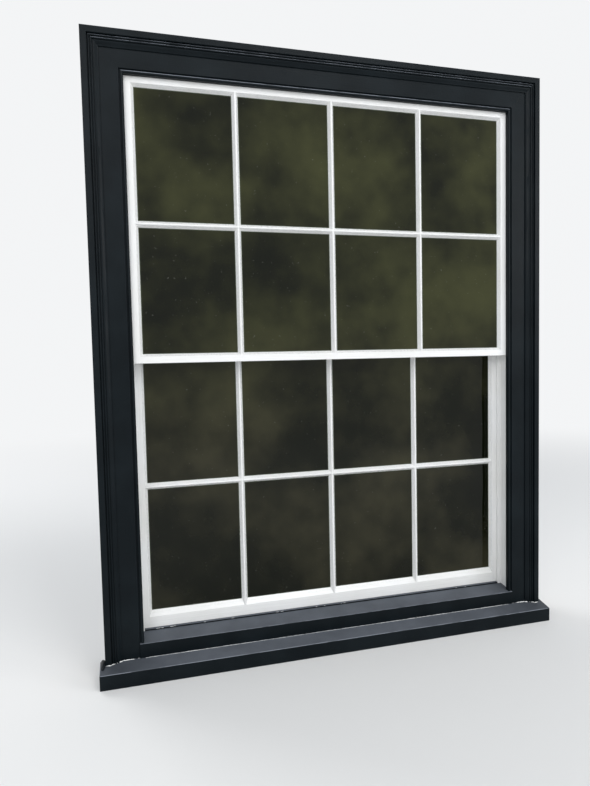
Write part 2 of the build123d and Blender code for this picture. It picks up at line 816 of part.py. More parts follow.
# Axle pins, riveted in the cheeks.
with BuildPart() as pulley_pins:
    for side in (-1, 1):
        for track in (upper_track, lower_track):
            with Locations((side * axle_x, track, pulley_z)):
                Cylinder(pin_radius, 2 * case_half_width, rotation=(90, 0, 0))
keep(pulley_pins, "pulley_pins")

# Pulley wheel: a rim with a round groove for the cord, a thin web with holes and a hub.
rim_radius = pulley_pitch_radius + pulley_rim
tread_radius = pulley_pitch_radius - cord_diameter / 2 - cord_clearance
web_outer = tread_radius - pulley_rim_wall
web_middle = (web_outer + pulley_hub_radius) / 2
for side, hand in ((-1, "left"), (1, "right")):
    for track, sash in ((upper_track, "upper"), (lower_track, "lower")):
        axle = (side * axle_x, track, pulley_z)
        outwards = (Align.MIN, Align.CENTER)
        with BuildPart() as wheel:
            with BuildSketch(Plane(origin=axle, x_dir=(1, 0, 0), z_dir=(0, 0, 1))):
                Rectangle(rim_radius, pulley_width, align=outwards)
                with Locations((pulley_pitch_radius, 0)):
                    Circle(cord_diameter / 2 + cord_clearance, mode=Mode.SUBTRACT)
                Rectangle(pin_radius + pin_clearance, pulley_width, align=outwards, mode=Mode.SUBTRACT)
                recess = (pulley_width - pulley_web) / 2
                for face in (-1, 1):
                    with Locations((web_middle, face * (pulley_width - recess) / 2)):
                        Rectangle(web_outer - pulley_hub_radius, recess, mode=Mode.SUBTRACT)
            revolve(axis=Axis(axle, (0, 1, 0)))
            with BuildSketch(Plane(origin=axle, x_dir=(1, 0, 0), z_dir=(0, -1, 0))):
                with PolarLocations(web_middle, pulley_holes):
                    Circle(pulley_hole_radius)
            extrude(amount=pulley_width, both=True, mode=Mode.SUBTRACT)
        keep(wheel, f"{sash}_pulley_wheel_{hand}")

# Sash weights: cast-iron bars with a necked eye for the cord's knot.
upper_weight_foot = sill_back_top + weight_foot_gap
lower_weight_foot = upper_weight_foot + sash_travel
for sash, track, foot, length in (
    ("upper", upper_track, upper_weight_foot, upper_weight_length),
    ("lower", lower_track, lower_weight_foot, lower_weight_length),
):
    shoulder_z = foot + length
    neck_z = shoulder_z + weight_neck_height
    for side, hand in ((-1, "left"), (1, "right")):
        with BuildPart() as weight:
            with BuildSketch(Plane(origin=(side * weight_x, track, 0), x_dir=(1, 0, 0), z_dir=(0, -1, 0))):
                with BuildLine():
                    Polyline(
                        (0, foot),
                        (weight_diameter / 2 - weight_taper, foot),
                        (weight_diameter / 2, foot + weight_taper),
                        (weight_diameter / 2, shoulder_z - weight_taper),
                        (weight_neck_diameter / 2, shoulder_z),
                        (weight_neck_diameter / 2, neck_z),
                        (0, neck_z),
                        close=True,
                    )
                make_face()
            revolve(axis=Axis((side * weight_x, track, 0), (0, 0, 1)))
            with Locations((side * weight_x, track, shoulder_z + weight_eye_floor + weight_eye_height / 2)):
                Box(weight_neck_diameter, knot_diameter + 2 * knot_gap, weight_eye_height, mode=Mode.SUBTRACT)
            with Locations((side * weight_x, track, neck_z)):
                Cylinder(
                    cord_diameter / 2 + cord_clearance,
                    2 * (weight_neck_height - weight_eye_floor - weight_eye_height / 2),
                    mode=Mode.SUBTRACT,
                )
        keep(weight, f"{sash}_weight_{hand}")

# Sash cords: from the knot in the stile, over the pulley and down to the knot in the weight's eye.
for sash, track, sash_top, weight_end in (
    ("upper", upper_track, upper_top, upper_weight_foot + upper_weight_length),
    ("lower", lower_track, lower_top, lower_weight_foot + lower_weight_length),
):
    for side, hand in ((-1, "left"), (1, "right")):
        with BuildPart() as cord:
            knot_x = side * (sash_half - knot_cover - knot_diameter / 2)
            knot_z = sash_top - cord_fixing_drop
            eye_z = weight_end + weight_eye_floor + weight_eye_height - knot_gap - knot_diameter / 2
            with BuildLine():
                Line((side * cord_x, track, knot_z), (side * cord_x, track, pulley_z))
                ThreePointArc(
                    (side * cord_x, track, pulley_z),
                    (side * axle_x, track, pulley_z + pulley_pitch_radius),
                    (side * weight_x, track, pulley_z),
                )
                Line((side * weight_x, track, pulley_z), (side * weight_x, track, eye_z))
            with BuildSketch(Plane(origin=(side * cord_x, track, knot_z), z_dir=(0, 0, 1))):
                Circle(cord_diameter / 2)
            sweep()
            with Locations((knot_x, track, knot_z), (side * weight_x, track, eye_z)):
                Sphere(knot_diameter / 2, rotation=(0, 0, 90))
        keep(cord, f"{sash}_cord_{hand}")

# Fastener base: a plate on the lower meeting rail with a pivot stud.
with BuildPart() as fastener_base:
    with BuildSketch(Plane.XY.offset(lower_top)):
        with Locations((fastener_x, lower_track)):
            RectangleRounded(base_length, base_width, base_round)
    extrude(amount=base_thickness)
    fillet(fastener_base.edges().group_by(Axis.Z)[-1], arris_round)
    with BuildSketch(Plane.XY.offset(lower_top + base_thickness)):
        with Locations((fastener_x, lower_track)):
            Circle(stud_radius)
    extrude(amount=stud_height)
keep(fastener_base, "fastener_base")

# Fastener lever: a turned hub, collar and ball knob on the stud, with the tongue that goes under the keep.
hub_z = lower_top + base_thickness + lever_lift
collar_z = hub_z + hub_height
cone_z = collar_z + collar_height
neck_z = cone_z + cone_height
knob_z = neck_z + neck_height
knob_seat = knob_radius * cos(asin(neck_radius / knob_radius))
with BuildPart() as fastener_lever:
    with BuildSketch(Plane(origin=(fastener_x, lower_track, 0), x_dir=(1, 0, 0), z_dir=(0, -1, 0))):
        with BuildLine():
            Polyline(
                (0, hub_z),
                (hub_radius, hub_z),
                (hub_radius, collar_z),
                (collar_radius - collar_round, collar_z),
                (collar_radius, collar_z + collar_round),
                (collar_radius, cone_z - collar_round),
                (collar_radius - collar_round, cone_z),
            )
            Line((collar_radius - collar_round, cone_z), (neck_radius, neck_z))
            Line((neck_radius, neck_z), (neck_radius, knob_z))
            ThreePointArc(
                (neck_radius, knob_z),
                (knob_radius, knob_z + knob_seat),
                (0, knob_z + knob_seat + knob_radius),
            )
            Line((0, knob_z + knob_seat + knob_radius), (0, hub_z))
        make_face()
    revolve(axis=Axis((fastener_x, lower_track, 0), (0, 0, 1)))
    with BuildSketch(Plane.XY.offset(collar_z - tongue_thickness)):
        with Locations((fastener_x, lower_track)):
            SlotCenterPoint(
                ((tongue_reach - tongue_width / 2) / 2, 0),
                (tongue_reach - tongue_width / 2, 0),
                tongue_width,
            )
    extrude(amount=tongue_thickness)
    with BuildSketch(Plane.XY.offset(hub_z)):
        with Locations((fastener_x, lower_track)):
            Circle(stud_radius + stud_clearance)
    extrude(amount=stud_height, mode=Mode.SUBTRACT)
keep(fastener_lever, "fastener_lever")

# Fastener keep: a plate on the upper meeting rail with a post and a hook over the tongue's place.
tongue_tip = lower_track - tongue_reach
hook_front = upper_reach - meeting_splay / 2
with BuildPart() as fastener_keep:
    post_face = tongue_tip - keep_post_gap
    hook_z = collar_z + hook_gap
    with BuildSketch(section_plane(fastener_x)):
        with BuildLine():
            Polyline(
                (keep_back, upper_glass_bottom),
                (hook_front, upper_glass_bottom),
                (hook_front, upper_glass_bottom + keep_thickness),
                (post_face, upper_glass_bottom + keep_thickness),
                (post_face, hook_z),
                (hook_front, hook_z),
                (hook_front, hook_z + keep_hook_height),
                (post_face - keep_post_thickness, hook_z + keep_hook_height),
                (post_face - keep_post_thickness, upper_glass_bottom + keep_thickness),
                (keep_back, upper_glass_bottom + keep_thickness),
                close=True,
            )
        make_face()
    extrude(amount=keep_half_width, both=True)
    fillet(fastener_keep.edges().filter_by(Axis.X).group_by(Axis.Z)[-1], arris_round)
keep(fastener_keep, "fastener_keep")

# Sash lifts: a screwed plate on the inner face of the bottom rail, with a hook for the fingers.
lift_face = lower_face + sash_thickness
lift_z = sill_back_top + staff_bead_projection + lift_bead_gap
with BuildPart() as sash_lifts:
    for side in (-1, 1):
        lift_x = side * lift_spacing / 2
        plate_z = lift_z + lift_plate_height / 2
        with BuildSketch(Plane(origin=(lift_x, lift_face, plate_z), x_dir=(-1, 0, 0), z_dir=(0, 1, 0))):
            RectangleRounded(lift_plate_width, lift_plate_height, lift_plate_round)
        extrude(amount=lift_plate_thickness)
        with BuildSketch(section_plane(lift_x)):
            with BuildLine():
                arm_z = lift_z + lift_hook_rise
                lip_y = lift_face + lift_reach - lift_hook_thickness / 2
                arm_end = (lip_y - lift_bend, arm_z)
                Line((lift_face + lift_plate_thickness / 2, arm_z), arm_end)
                bend = JernArc(start=arm_end, tangent=(1, 0), radius=lift_bend, arc_size=90)
                Line(bend @ 1, (lip_y, arm_z + lift_bend + lift_lip))
            trace(line_width=lift_hook_thickness)
        extrude(amount=lift_hook_width / 2, both=True)
    lip_top = sash_lifts.edges().filter_by(Axis.X).group_by(Axis.Y)[-1].group_by(Axis.Z)[-1]
    fillet(lip_top, arris_round)
keep(sash_lifts, "sash_lifts")
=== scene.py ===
"""Box sash window: finishes, cords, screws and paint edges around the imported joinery.

Lengths are metres. +X is right as seen from outside, +Y goes into the room, +Z is up.
"""
import json
import logging
import math
from dataclasses import dataclass, field
from enum import Enum
from typing import Any, ClassVar, Optional

import bpy
import numpy as np
from mathutils import Matrix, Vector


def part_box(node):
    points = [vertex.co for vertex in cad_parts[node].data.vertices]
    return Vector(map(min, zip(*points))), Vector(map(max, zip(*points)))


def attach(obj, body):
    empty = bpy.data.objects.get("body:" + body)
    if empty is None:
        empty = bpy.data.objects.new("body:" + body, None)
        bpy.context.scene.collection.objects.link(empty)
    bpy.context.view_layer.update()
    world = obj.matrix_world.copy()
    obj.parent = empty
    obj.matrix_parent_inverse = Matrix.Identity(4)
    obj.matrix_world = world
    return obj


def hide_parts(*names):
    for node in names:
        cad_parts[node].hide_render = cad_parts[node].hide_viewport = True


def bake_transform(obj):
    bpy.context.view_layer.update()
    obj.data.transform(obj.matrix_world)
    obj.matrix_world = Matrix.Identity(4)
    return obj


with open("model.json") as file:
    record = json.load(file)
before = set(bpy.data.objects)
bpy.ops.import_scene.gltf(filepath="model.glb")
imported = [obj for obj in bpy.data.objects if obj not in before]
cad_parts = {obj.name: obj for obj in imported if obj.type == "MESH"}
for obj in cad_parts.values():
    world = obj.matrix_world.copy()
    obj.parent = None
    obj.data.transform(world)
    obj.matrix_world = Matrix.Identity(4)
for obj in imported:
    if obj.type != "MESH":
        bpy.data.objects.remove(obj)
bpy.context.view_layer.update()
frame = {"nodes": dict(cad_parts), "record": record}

log = logging.getLogger("sash_window")

Colour = tuple[float, float, float]
Point = tuple[float, float, float]
Span = tuple[float, float]


class Grain(Enum):
    """Direction in which a board was brushed: the scale of a pattern along X, Y and Z, per metre."""

    LEVEL = (7.0, 420.0, 420.0)
    UPRIGHT = (420.0, 420.0, 7.0)
    ALL_ROUND = (160.0, 160.0, 160.0)

    def scaled(self, factor: float) -> tuple[float, ...]:
        """The pattern's scale times a factor."""
        return tuple(scale * factor for scale in self.value)

    @property
    def wear(self) -> tuple[float, ...]:
        """Scale of the patches that break up the arris wear and painted highlight, per metre: finer along the
        board than across it.
        """
        return tuple(9.0 if scale > 100.0 else 26.0 for scale in self.value)


class Hand(Enum):
    """Side of the window, as seen from outside."""

    LEFT = -1
    RIGHT = 1

    @property
    def word(self) -> str:
        """The side's name as the CAD nodes spell it."""
        return self.name.lower()


class Value:
    """A shader socket that adds Math nodes when it is used in arithmetic."""

    def __init__(self, graph: "Graph", socket: bpy.types.NodeSocket) -> None:
        """Wraps an output socket of the graph's tree."""
        self.graph = graph
        self.socket = socket

    def __add__(self, other: "Number") -> "Value":
        """self + other."""
        return self.graph.maths("ADD", self, other)

    def __radd__(self, other: "Number") -> "Value":
        """other + self."""
        return self.graph.maths("ADD", other, self)

    def __sub__(self, other: "Number") -> "Value":
        """self - other."""
        return self.graph.maths("SUBTRACT", self, other)

    def __rsub__(self, other: "Number") -> "Value":
        """other - self."""
        return self.graph.maths("SUBTRACT", other, self)

    def __mul__(self, other: "Number") -> "Value":
        """self * other."""
        return self.graph.maths("MULTIPLY", self, other)

    def __rmul__(self, other: "Number") -> "Value":
        """other * self."""
        return self.graph.maths("MULTIPLY", other, self)

    def __pow__(self, other: "Number") -> "Value":
        """self ** other."""
        return self.graph.maths("POWER", self, other)

    def sine(self) -> "Value":
        """Sine of the value, in radians."""
        return self.graph.maths("SINE", self)

    def size(self) -> "Value":
        """Absolute value."""
        return self.graph.maths("ABSOLUTE", self)

    def rise(self, low: float, high: float) -> "Value":
        """Smooth step: 0 below low, 1 above high.

        Args:
            low: Where the step starts.
            high: Where it ends.

        Returns:
            The stepped value.
        """
        settings = {"interpolation_type": "SMOOTHSTEP"}
        node = self.graph.node("ShaderNodeMapRange", settings, {0: self, 1: low, 2: high})
        return Value(self.graph, node.outputs[0])


Number = Value | float | int


class Graph:
    """The node tree of one finish, with short ways to add its nodes."""

    test_rays: ClassVar[int] = 6

    def __init__(self, name: str, owner: Optional[bpy.types.World] = None) -> None:
        """Empties the tree of a new material, or of the owner.

        Args:
            name: The material's name.
            owner: A world, for its own tree.
        """
        self.material = owner or bpy.data.materials.new(name)
        self.material.use_nodes = True
        self.tree = self.material.node_tree
        self.tree.nodes.clear()

    def node(self, kind: str, settings: dict[str, Any], inputs: dict[Any, Any]) -> bpy.types.Node:
        """Adds one node, sets its settings and then its sockets.

        Args:
            kind: Blender's node type.
            settings: Attributes, set first.
            inputs: Socket name or index to a number, a colour, a Value or a socket.

        Returns:
            The node.
        """
        node = self.tree.nodes.new(kind)
        for name, setting in settings.items():
            setattr(node, name, setting)
        for name, value in inputs.items():
            if isinstance(value, Value):
                self.tree.links.new(value.socket, node.inputs[name])
            elif isinstance(value, bpy.types.NodeSocket):
                self.tree.links.new(value, node.inputs[name])
            else:
                node.inputs[name].default_value = value
        return node

    def maths(self, operation: str, *terms: Number) -> Value:
        """One Math node.

        Args:
            operation: Blender's name of the operation.
            terms: Its one or two values.

        Returns:
            The result.
        """
        node = self.node("ShaderNodeMath", {"operation": operation}, dict(enumerate(terms)))
        return Value(self, node.outputs[0])

    def place(self) -> bpy.types.NodeSocket:
        """Object coordinates, in metres."""
        return self.node("ShaderNodeTexCoord", {}, {}).outputs["Object"]

    def stretched(self, place: bpy.types.NodeSocket, scale: tuple[float, ...]) -> bpy.types.NodeSocket:
        """Coordinates multiplied by a factor along each axis."""
        node = self.node("ShaderNodeVectorMath", {"operation": "MULTIPLY"}, {0: place, 1: scale})
        return node.outputs[0]

    def noise(self, place: bpy.types.NodeSocket, scale: float, detail: float = 3.0) -> Value:
        """Fractal noise between 0 and 1.

        Args:
            place: Coordinates.
            scale: Patches per unit.
            detail: Octaves.

        Returns:
            The noise.
        """
        node = self.node("ShaderNodeTexNoise", {}, {"Vector": place, "Scale": scale, "Detail": detail})
        return Value(self, node.outputs[0])

    def facing(self, axis: int) -> Value:
        """How far the surface faces along an axis: 1 along it, 0 across it, -1 against it."""
        normal = self.node("ShaderNodeTexCoord", {}, {}).outputs["Normal"]
        return Value(self, self.node("ShaderNodeSeparateXYZ", {}, {0: normal}).outputs[axis])

    def part(self, place: bpy.types.NodeSocket, axis: int) -> Value:
        """One part of the coordinates: 0 for X, 1 for Y, 2 for Z."""
        return Value(self, self.node("ShaderNodeSeparateXYZ", {}, {0: place}).outputs[axis])

    def seen(self) -> Value:
        """1 for rays that show a thing to the camera, straight, mirrored or through glass, else 0."""
        rays = self.node("ShaderNodeLightPath", {}, {}).outputs
        straight, mirrored, through = (
            Value(self, rays[f"Is {kind} Ray"]) for kind in ("Camera", "Glossy", "Transmission"))
        return self.maths("MAXIMUM", straight, self.maths("MAXIMUM", mirrored, through))

    def hollow(self, reach: float) -> Value:
        """How closed in the point is by surfaces within reach: 1 deep in a corner, 0 in the open."""
        node = self.node("ShaderNodeAmbientOcclusion", {"samples": self.test_rays}, {"Distance": reach})
        return 1.0 - Value(self, node.outputs["AO"])

    def blend(self, factor: Number, low: Any, high: Any) -> bpy.types.NodeSocket:
        """Mixes two colours.

        Args:
            factor: Share of the second colour.
            low: First colour or socket.
            high: Second colour or socket.

        Returns:
            The mixed colour.
        """
        colours = [(*c, 1.0) if isinstance(c, tuple) else c for c in (low, high)]
        node = self.node("ShaderNodeMix", {"data_type": "RGBA"}, {0: factor, 6: colours[0], 7: colours[1]})
        return node.outputs[2]

    def relief(self, height: Value, depth: float, arris: float = 0.0) -> bpy.types.NodeSocket:
        """Bumped normal, over softened edges.

        Args:
            height: Height between 0 and 1.
            depth: Depth of the relief in metres.
            arris: Radius by which edges look worn round, or 0.

        Returns:
            The normal.
        """
        inputs: dict[Any, Any] = {"Strength": 1.0, "Distance": depth, "Height": height}
        if arris > 0:
            edge = self.node("ShaderNodeBevel", {"samples": self.test_rays}, {"Radius": arris})
            inputs["Normal"] = edge.outputs[0]
        return self.node("ShaderNodeBump", {}, inputs).outputs[0]

    def surface(self, inputs: dict[Any, Any]) -> bpy.types.Material:
        """Ends the tree in a Principled shader with these sockets, and returns the material."""
        shader = self.node("ShaderNodeBsdfPrincipled", {}, inputs)
        self.node("ShaderNodeOutputMaterial", {}, {"Surface": shader.outputs[0]})
        return self.material


@dataclass(frozen=True)
class BlackPaint:
    """Black satin paint on hardwood: brushed along the board, dust and painted sheen facing up, painted
    highlight and wear on arrises.

    The ranges are pairs of low and high for a smooth step: level and slant in how far the surface faces up,
    the sheen fade span in metres from the window's middle, where the painted sheen is brightest. Scales are
    patches per metre, depths and radii are metres.
    """

    name: str
    grain: Grain
    # colour and fade carry a blue cast that is a painted sky reflection; the dust colour below is lightened
    # and blued as painted sheen as well as dust
    colour: Colour = (0.0034, 0.0060, 0.0078)
    fade: Colour = (0.0060, 0.0096, 0.0120)
    dust: Colour = (0.215, 0.235, 0.270)
    rear: Optional[Colour] = None
    level: Span = (0.55, 0.97)
    slant: tuple[Span, Span] = ((0.28, 0.48), (0.70, 0.86))
    sheltered: Span = (0.50, 0.72)
    shelter: float = 0.45
    dust_scale: float = 13.0
    dust_cover: float = 0.58
    mottle_scale: float = 9.0
    speck_scale: float = 260.0
    roughness: float = 0.29
    shine: float = 0.10
    brush_depth: float = 0.00022
    arris: float = 0.0011

    def build(self) -> bpy.types.Material:
        """The material: faded by mottling, dust and painted sheen where it faces up, painted arris
        highlights, any rear coat on its +Y side.
        """
        g = Graph(self.name)
        place = g.place()
        brush = g.noise(g.stretched(place, self.grain.value), 1.0, 4.0)
        mottle = g.noise(place, self.mottle_scale)
        specks = g.noise(place, self.speck_scale, 2.0)
        # painted sheen: less of the up-facing dust colour towards the window's ends, so the middle looks lit
        middle_sheen = 1.0 - self.shelter * g.part(place, 0).size().rise(*self.sheltered)
        drifts = 0.50 + 0.6 * g.noise(place, self.dust_scale, 5.0)
        # dust on faces that point up; its light blue-grey colour is also a painted sky sheen on them
        dust_and_sheen_share = g.facing(2).rise(*self.level) * drifts * middle_sheen
        # painted highlight along rounded level arrises, broken into patches like wear
        arris = g.facing(2).rise(*self.slant[0]) * (1.0 - g.facing(2).rise(*self.slant[1]))
        patches = g.noise(g.stretched(place, self.grain.wear), 1.0, 3.0).rise(0.34, 0.62)
        arris_highlight_and_wear = arris * (0.45 + 0.9 * patches)
        dust_sheen_and_highlight = g.maths("MAXIMUM", dust_and_sheen_share * self.dust_cover, arris_highlight_and_wear) + specks.rise(0.66, 0.8) * 0.05
        body = g.blend(mottle.rise(0.35, 0.75), self.colour, self.fade)
        if self.rear is not None:
            body = g.blend(g.facing(1).rise(0.5, 0.7), body, self.rear)
        return g.surface({
            "Base Color": g.blend(dust_sheen_and_highlight, body, self.dust),
            "Roughness": self.roughness + 0.10 * brush + 0.22 * dust_and_sheen_share + 0.06 * mottle,
            "Specular IOR Level": self.shine,
            "Normal": g.relief(brush * 0.7 + g.noise(place, 55.0) * 0.5, self.brush_depth, self.arris),
        })


@dataclass(frozen=True)
class WhitePaint:
    """White gloss paint on softwood: laid off along the board, darker in its corners from painted shade and
    dirt.
    """

    name: str
    grain: Grain
    colour: Colour = (0.815, 0.82, 0.815)
    shade: Colour = (0.775, 0.775, 0.755)
    dirt: Colour = (0.30, 0.29, 0.25)
    soiling: float = 0.30
    corner_reach: float = 0.010
    mottle_scale: float = 6.0
    dirt_scale: float = 34.0
    roughness: float = 0.20
    shine: float = 0.45
    brush_depth: float = 0.00020
    arris: float = 0.0009

    def build(self) -> bpy.types.Material:
        """The material: painted shade and dirt follow the hollow mask times noise, roughness follows the
        brush marks.
        """
        g = Graph(self.name)
        place = g.place()
        brush = g.noise(g.stretched(place, self.grain.value), 1.0, 4.0)
        mottle = g.noise(place, self.mottle_scale)
        patchy = g.noise(place, self.dirt_scale, 5.0).rise(0.34, 0.72)
        # painted shade and dirt: darker where the occlusion test finds the point closed in, broken up by
        # noise
        soiled = g.hollow(self.corner_reach).rise(0.30, 0.95) * (0.35 + 0.65 * patchy) * self.soiling
        body = g.blend(mottle.rise(0.3, 0.8), self.colour, self.shade)
        return g.surface({
            "Base Color": g.blend(soiled, body, self.dirt),
            "Roughness": self.roughness + 0.16 * brush + 0.25 * soiled,
            "Specular IOR Level": self.shine,
            "Normal": g.relief(brush * 0.6 + g.noise(place, 40.0) * 0.6, self.brush_depth, self.arris),
        })


@dataclass(frozen=True)
class BareWood:
    """Unpainted pine: dark summer rings drawn along the board."""

    name: str
    grain: Grain
    light: Colour = (0.52, 0.36, 0.20)
    dark: Colour = (0.27, 0.155, 0.075)
    sawn: Colour = (0.40, 0.30, 0.20)
    ring_width: float = 14.0
    ring_count: float = 34.0
    ring_sharpness: float = 2.2
    fibre_fineness: float = 2.2
    roughness: float = 0.66
    fibre_depth: float = 0.0003
    arris: float = 0.0008

    def build(self) -> bpy.types.Material:
        """The material: rings are the sine of the warped distance across the board."""
        g = Graph(self.name)
        place = g.place()
        warp = g.noise(g.stretched(place, self.grain.scaled(1.0 / self.ring_width)), 0.55, 4.0)
        ring = ((warp * self.ring_count).sine() * 0.5 + 0.5) ** self.ring_sharpness
        fibre = g.noise(g.stretched(place, self.grain.scaled(self.fibre_fineness)), 1.0, 3.0)
        weathered = g.noise(place, 4.0, 5.0).rise(0.35, 0.75) * 0.45
        body = g.blend(ring * 0.55 + fibre * 0.25, self.light, self.dark)
        return g.surface({
            "Base Color": g.blend(weathered, body, self.sawn),
            "Roughness": self.roughness + 0.14 * fibre,
            "Normal": g.relief(fibre * 0.8 + ring * 0.3, self.fibre_depth, self.arris),
        })


@dataclass(frozen=True)
class PaneGrid:
    """Where the panes of a sash are, in metres: columns of equal pitch about x = 0, and two rows.

    A row is the height of its middle and half its own height.
    """

    pitch: float
    half_width: float
    rows: tuple[tuple[float, float], ...]

    @staticmethod
    def of(sash: str) -> "PaneGrid":
        """Reads the clear openings of a sash off the boxes of its bars and panes.

        Args:
            sash: "upper" or "lower".

        Returns:
            The grid.
        """
        bars_low, bars_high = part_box(f"{sash}_upright_bars")
        cross_low, cross_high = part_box(f"{sash}_cross_bar")
        panes_low, panes_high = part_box(f"{sash}_panes")
        bar = cross_high[2] - cross_low[2]
        pitch = (bars_high[0] - bars_low[0] - bar) / 2
        lap = panes_high[0] - 2 * pitch + bar / 2
        rows = ((panes_low[2] + lap, cross_low[2]), (cross_high[2], panes_high[2] - lap))
        return PaneGrid(pitch, (pitch - bar) / 2, tuple(((a + b) / 2, (b - a) / 2) for a, b in rows))

    def edge_distance(self, g: "Graph", place: bpy.types.NodeSocket) -> "Value":
        """Distance from the nearest edge of a clear opening, at most half a pane.

        Args:
            g: The tree.
            place: Object coordinates.

        Returns:
            The distance in metres.
        """
        across = g.maths("FRACT", g.part(place, 0) * (1.0 / self.pitch)) - 0.5
        near = self.half_width - across.size() * self.pitch
        height = g.part(place, 2)
        gaps = [half - (height - centre).size() for centre, half in self.rows]
        return g.maths("MINIMUM", near, g.maths("MAXIMUM", *gaps))


@dataclass(frozen=True)
class WindowGlass:
    """Old drawn glass, opaque: near black as painted shade of the dark room behind, olive and brown painted
    reflections, waves and dried drops.

    Along the edges of a pane a lighter rim is painted in, standing for the rebate seen through the glass.
    """

    name: str
    grid: PaneGrid
    # colours below: near black painted room shade, olive and brown painted reflections, and a light rim
    # painted for the rebate seen through the glass
    deep: Colour = (0.0028, 0.0038, 0.0012)
    olive: Colour = (0.0390, 0.0415, 0.0150)
    brown: Colour = (0.0350, 0.0330, 0.0175)
    rim: Colour = (0.085, 0.100, 0.070)
    spots: Colour = (0.30, 0.31, 0.27)
    rim_width: Span = (0.0008, 0.0030)
    brown_below: Span = (0.55, 1.15)
    cloud_scale: float = 2.3
    mottle_scale: float = 12.0
    drop_scale: float = 120.0
    drop_cover: float = 0.16
    wave_scale: Point = (6.5, 6.5, 2.4)
    wave_depth: float = 0.0035
    roughness: float = 0.012
    index: float = 1.52
    shine: float = 0.18

    def build(self) -> bpy.types.Material:
        """The material: a slow and a finer noise choose between the painted room shade and the painted
        reflections, and waves bend the gloss.
        """
        g = Graph(self.name)
        place = g.place()
        slow = g.noise(place, self.cloud_scale, 4.0)
        # painted reflection mask: where it is high the glass shows the reflection colour, olive higher up and
        # brown towards the bottom
        reflection_mask = (slow * 0.80 + g.noise(place, self.mottle_scale, 5.0) * 0.20).rise(0.36, 0.68)
        reflection_tone = g.blend(g.part(place, 2).rise(*self.brown_below), self.brown, self.olive)
        film = g.noise(place, 17.0, 6.0).rise(0.5, 0.8)
        waves = g.noise(g.stretched(place, self.wave_scale), 1.0, 1.0)
        edge = 1.0 - self.grid.edge_distance(g, place).rise(*self.rim_width)
        patchy = 0.55 + 0.45 * g.noise(place, 30.0, 3.0)
        dried = g.noise(place, self.drop_scale, 2.0).rise(0.70, 0.80) * self.drop_cover
        # painted: room shade, reflections, and the rebate rim along each pane's edge
        clean = g.blend(edge * patchy, g.blend(reflection_mask, self.deep, reflection_tone), self.rim)
        return g.surface({
            "Base Color": g.blend(dried, clean, self.spots),
            "Roughness": self.roughness + 0.05 * film + 0.4 * dried,
            "IOR": self.index,
            "Specular IOR Level": self.shine,
            "Normal": g.relief(waves, self.wave_depth),
        })


@dataclass(frozen=True)
class Metal:
    """A metal with tarnish: smooth and bright on open faces, dull and dark in hollows."""

    name: str
    bright: Colour
    dull: Colour
    polish: float
    lumps: float = 120.0
    depth: float = 0.0001
    metallic: float = 1.0
    stain_scale: float = 31.0
    corner_reach: float = 0.008
    arris: float = 0.0005

    def build(self) -> bpy.types.Material:
        """The material: tarnish is noise plus the hollow mask."""
        g = Graph(self.name)
        place = g.place()
        cast = g.noise(place, self.lumps, 5.0)
        stains = g.noise(place, self.stain_scale, 5.0).rise(0.38, 0.68)
        tarnish = stains * 0.75 + g.hollow(self.corner_reach).rise(0.2, 0.9) * 0.25
        return g.surface({
            "Base Color": g.blend(tarnish, self.bright, self.dull),
            "Metallic": self.metallic * (1.0 - 0.25 * tarnish),
            "Roughness": self.polish + 0.30 * tarnish,
            "Normal": g.relief(cast, self.depth, self.arris),
        })


@dataclass(frozen=True)
class BraidedCotton:
    """Waxed cotton sash cord: two sets of strands cross over the cord; U runs round it and V along it."""

    name: str
    light: Colour = (0.66, 0.60, 0.46)
    dark: Colour = (0.34, 0.29, 0.19)
    strands: float = 8.0
    lay: float = 70.0
    roughness: float = 0.72
    braid_depth: float = 0.0006

    def build(self) -> bpy.types.Material:
        """The material: the product of two slanted sines makes the braid, and its dips get painted shade."""
        g = Graph(self.name)
        parts = g.node("ShaderNodeSeparateXYZ", {}, {0: g.node("ShaderNodeTexCoord", {}, {}).outputs["UV"]})
        turn = Value(g, parts.outputs[0]) * (2.0 * math.pi * self.strands)
        along = Value(g, parts.outputs[1]) * (2.0 * math.pi * self.lay)
        braid = (turn + along).sine() * (turn - along).sine()
        soiled = g.noise(g.place(), 45.0, 4.0)
        # painted shade in the dips between strands (one minus the braid's height), plus noise dirt
        shade = (0.5 - 0.5 * braid) * 0.5 + soiled.rise(0.4, 0.8) * 0.45
        return g.surface({
            "Base Color": g.blend(shade, self.light, self.dark),
            "Roughness": self.roughness + 0.15 * soiled,
            "Normal": g.relief(braid * 0.5 + 0.5, self.braid_depth),
        })


@dataclass(frozen=True)
class StagePaper:
    """Pale paper floor that runs out into the pale surroundings: shadowed near the object, plain far away."""

    name: str
    backdrop: Colour
    colour: Colour = (0.80, 0.80, 0.79)
    shade: Colour = (0.72, 0.72, 0.71)
    plain_from: Span = (1.6, 6.5)
    roughness: float = 0.9
    shine: float = 0.1

    def build(self) -> bpy.types.Material:
        """The material: by distance from the middle, paper gives way to the backdrop's own colour.

        Only rays that show the floor see the backdrop's colour; as light, it stays paper.

        Returns:
            The finished material.
        """
        g = Graph(self.name)
        place = g.place()
        length = g.node("ShaderNodeVectorMath", {"operation": "LENGTH"}, {0: place})
        away = Value(g, length.outputs["Value"]).rise(*self.plain_from)
        mottle = g.noise(place, 1.5, 4.0)
        paper = g.node("ShaderNodeBsdfPrincipled", {}, {
            "Base Color": g.blend(mottle * 0.05, self.colour, self.shade),
            "Roughness": self.roughness,
            "Specular IOR Level": self.shine,
        })
        plain = g.node("ShaderNodeEmission", {}, {"Color": (*self.backdrop, 1.0), "Strength": 1.0})
        inputs = {0: away * g.seen(), 1: paper.outputs[0], 2: plain.outputs[0]}
        mix = g.node("ShaderNodeMixShader", {}, inputs)
        g.node("ShaderNodeOutputMaterial", {}, {"Surface": mix.outputs[0]})
        return g.material


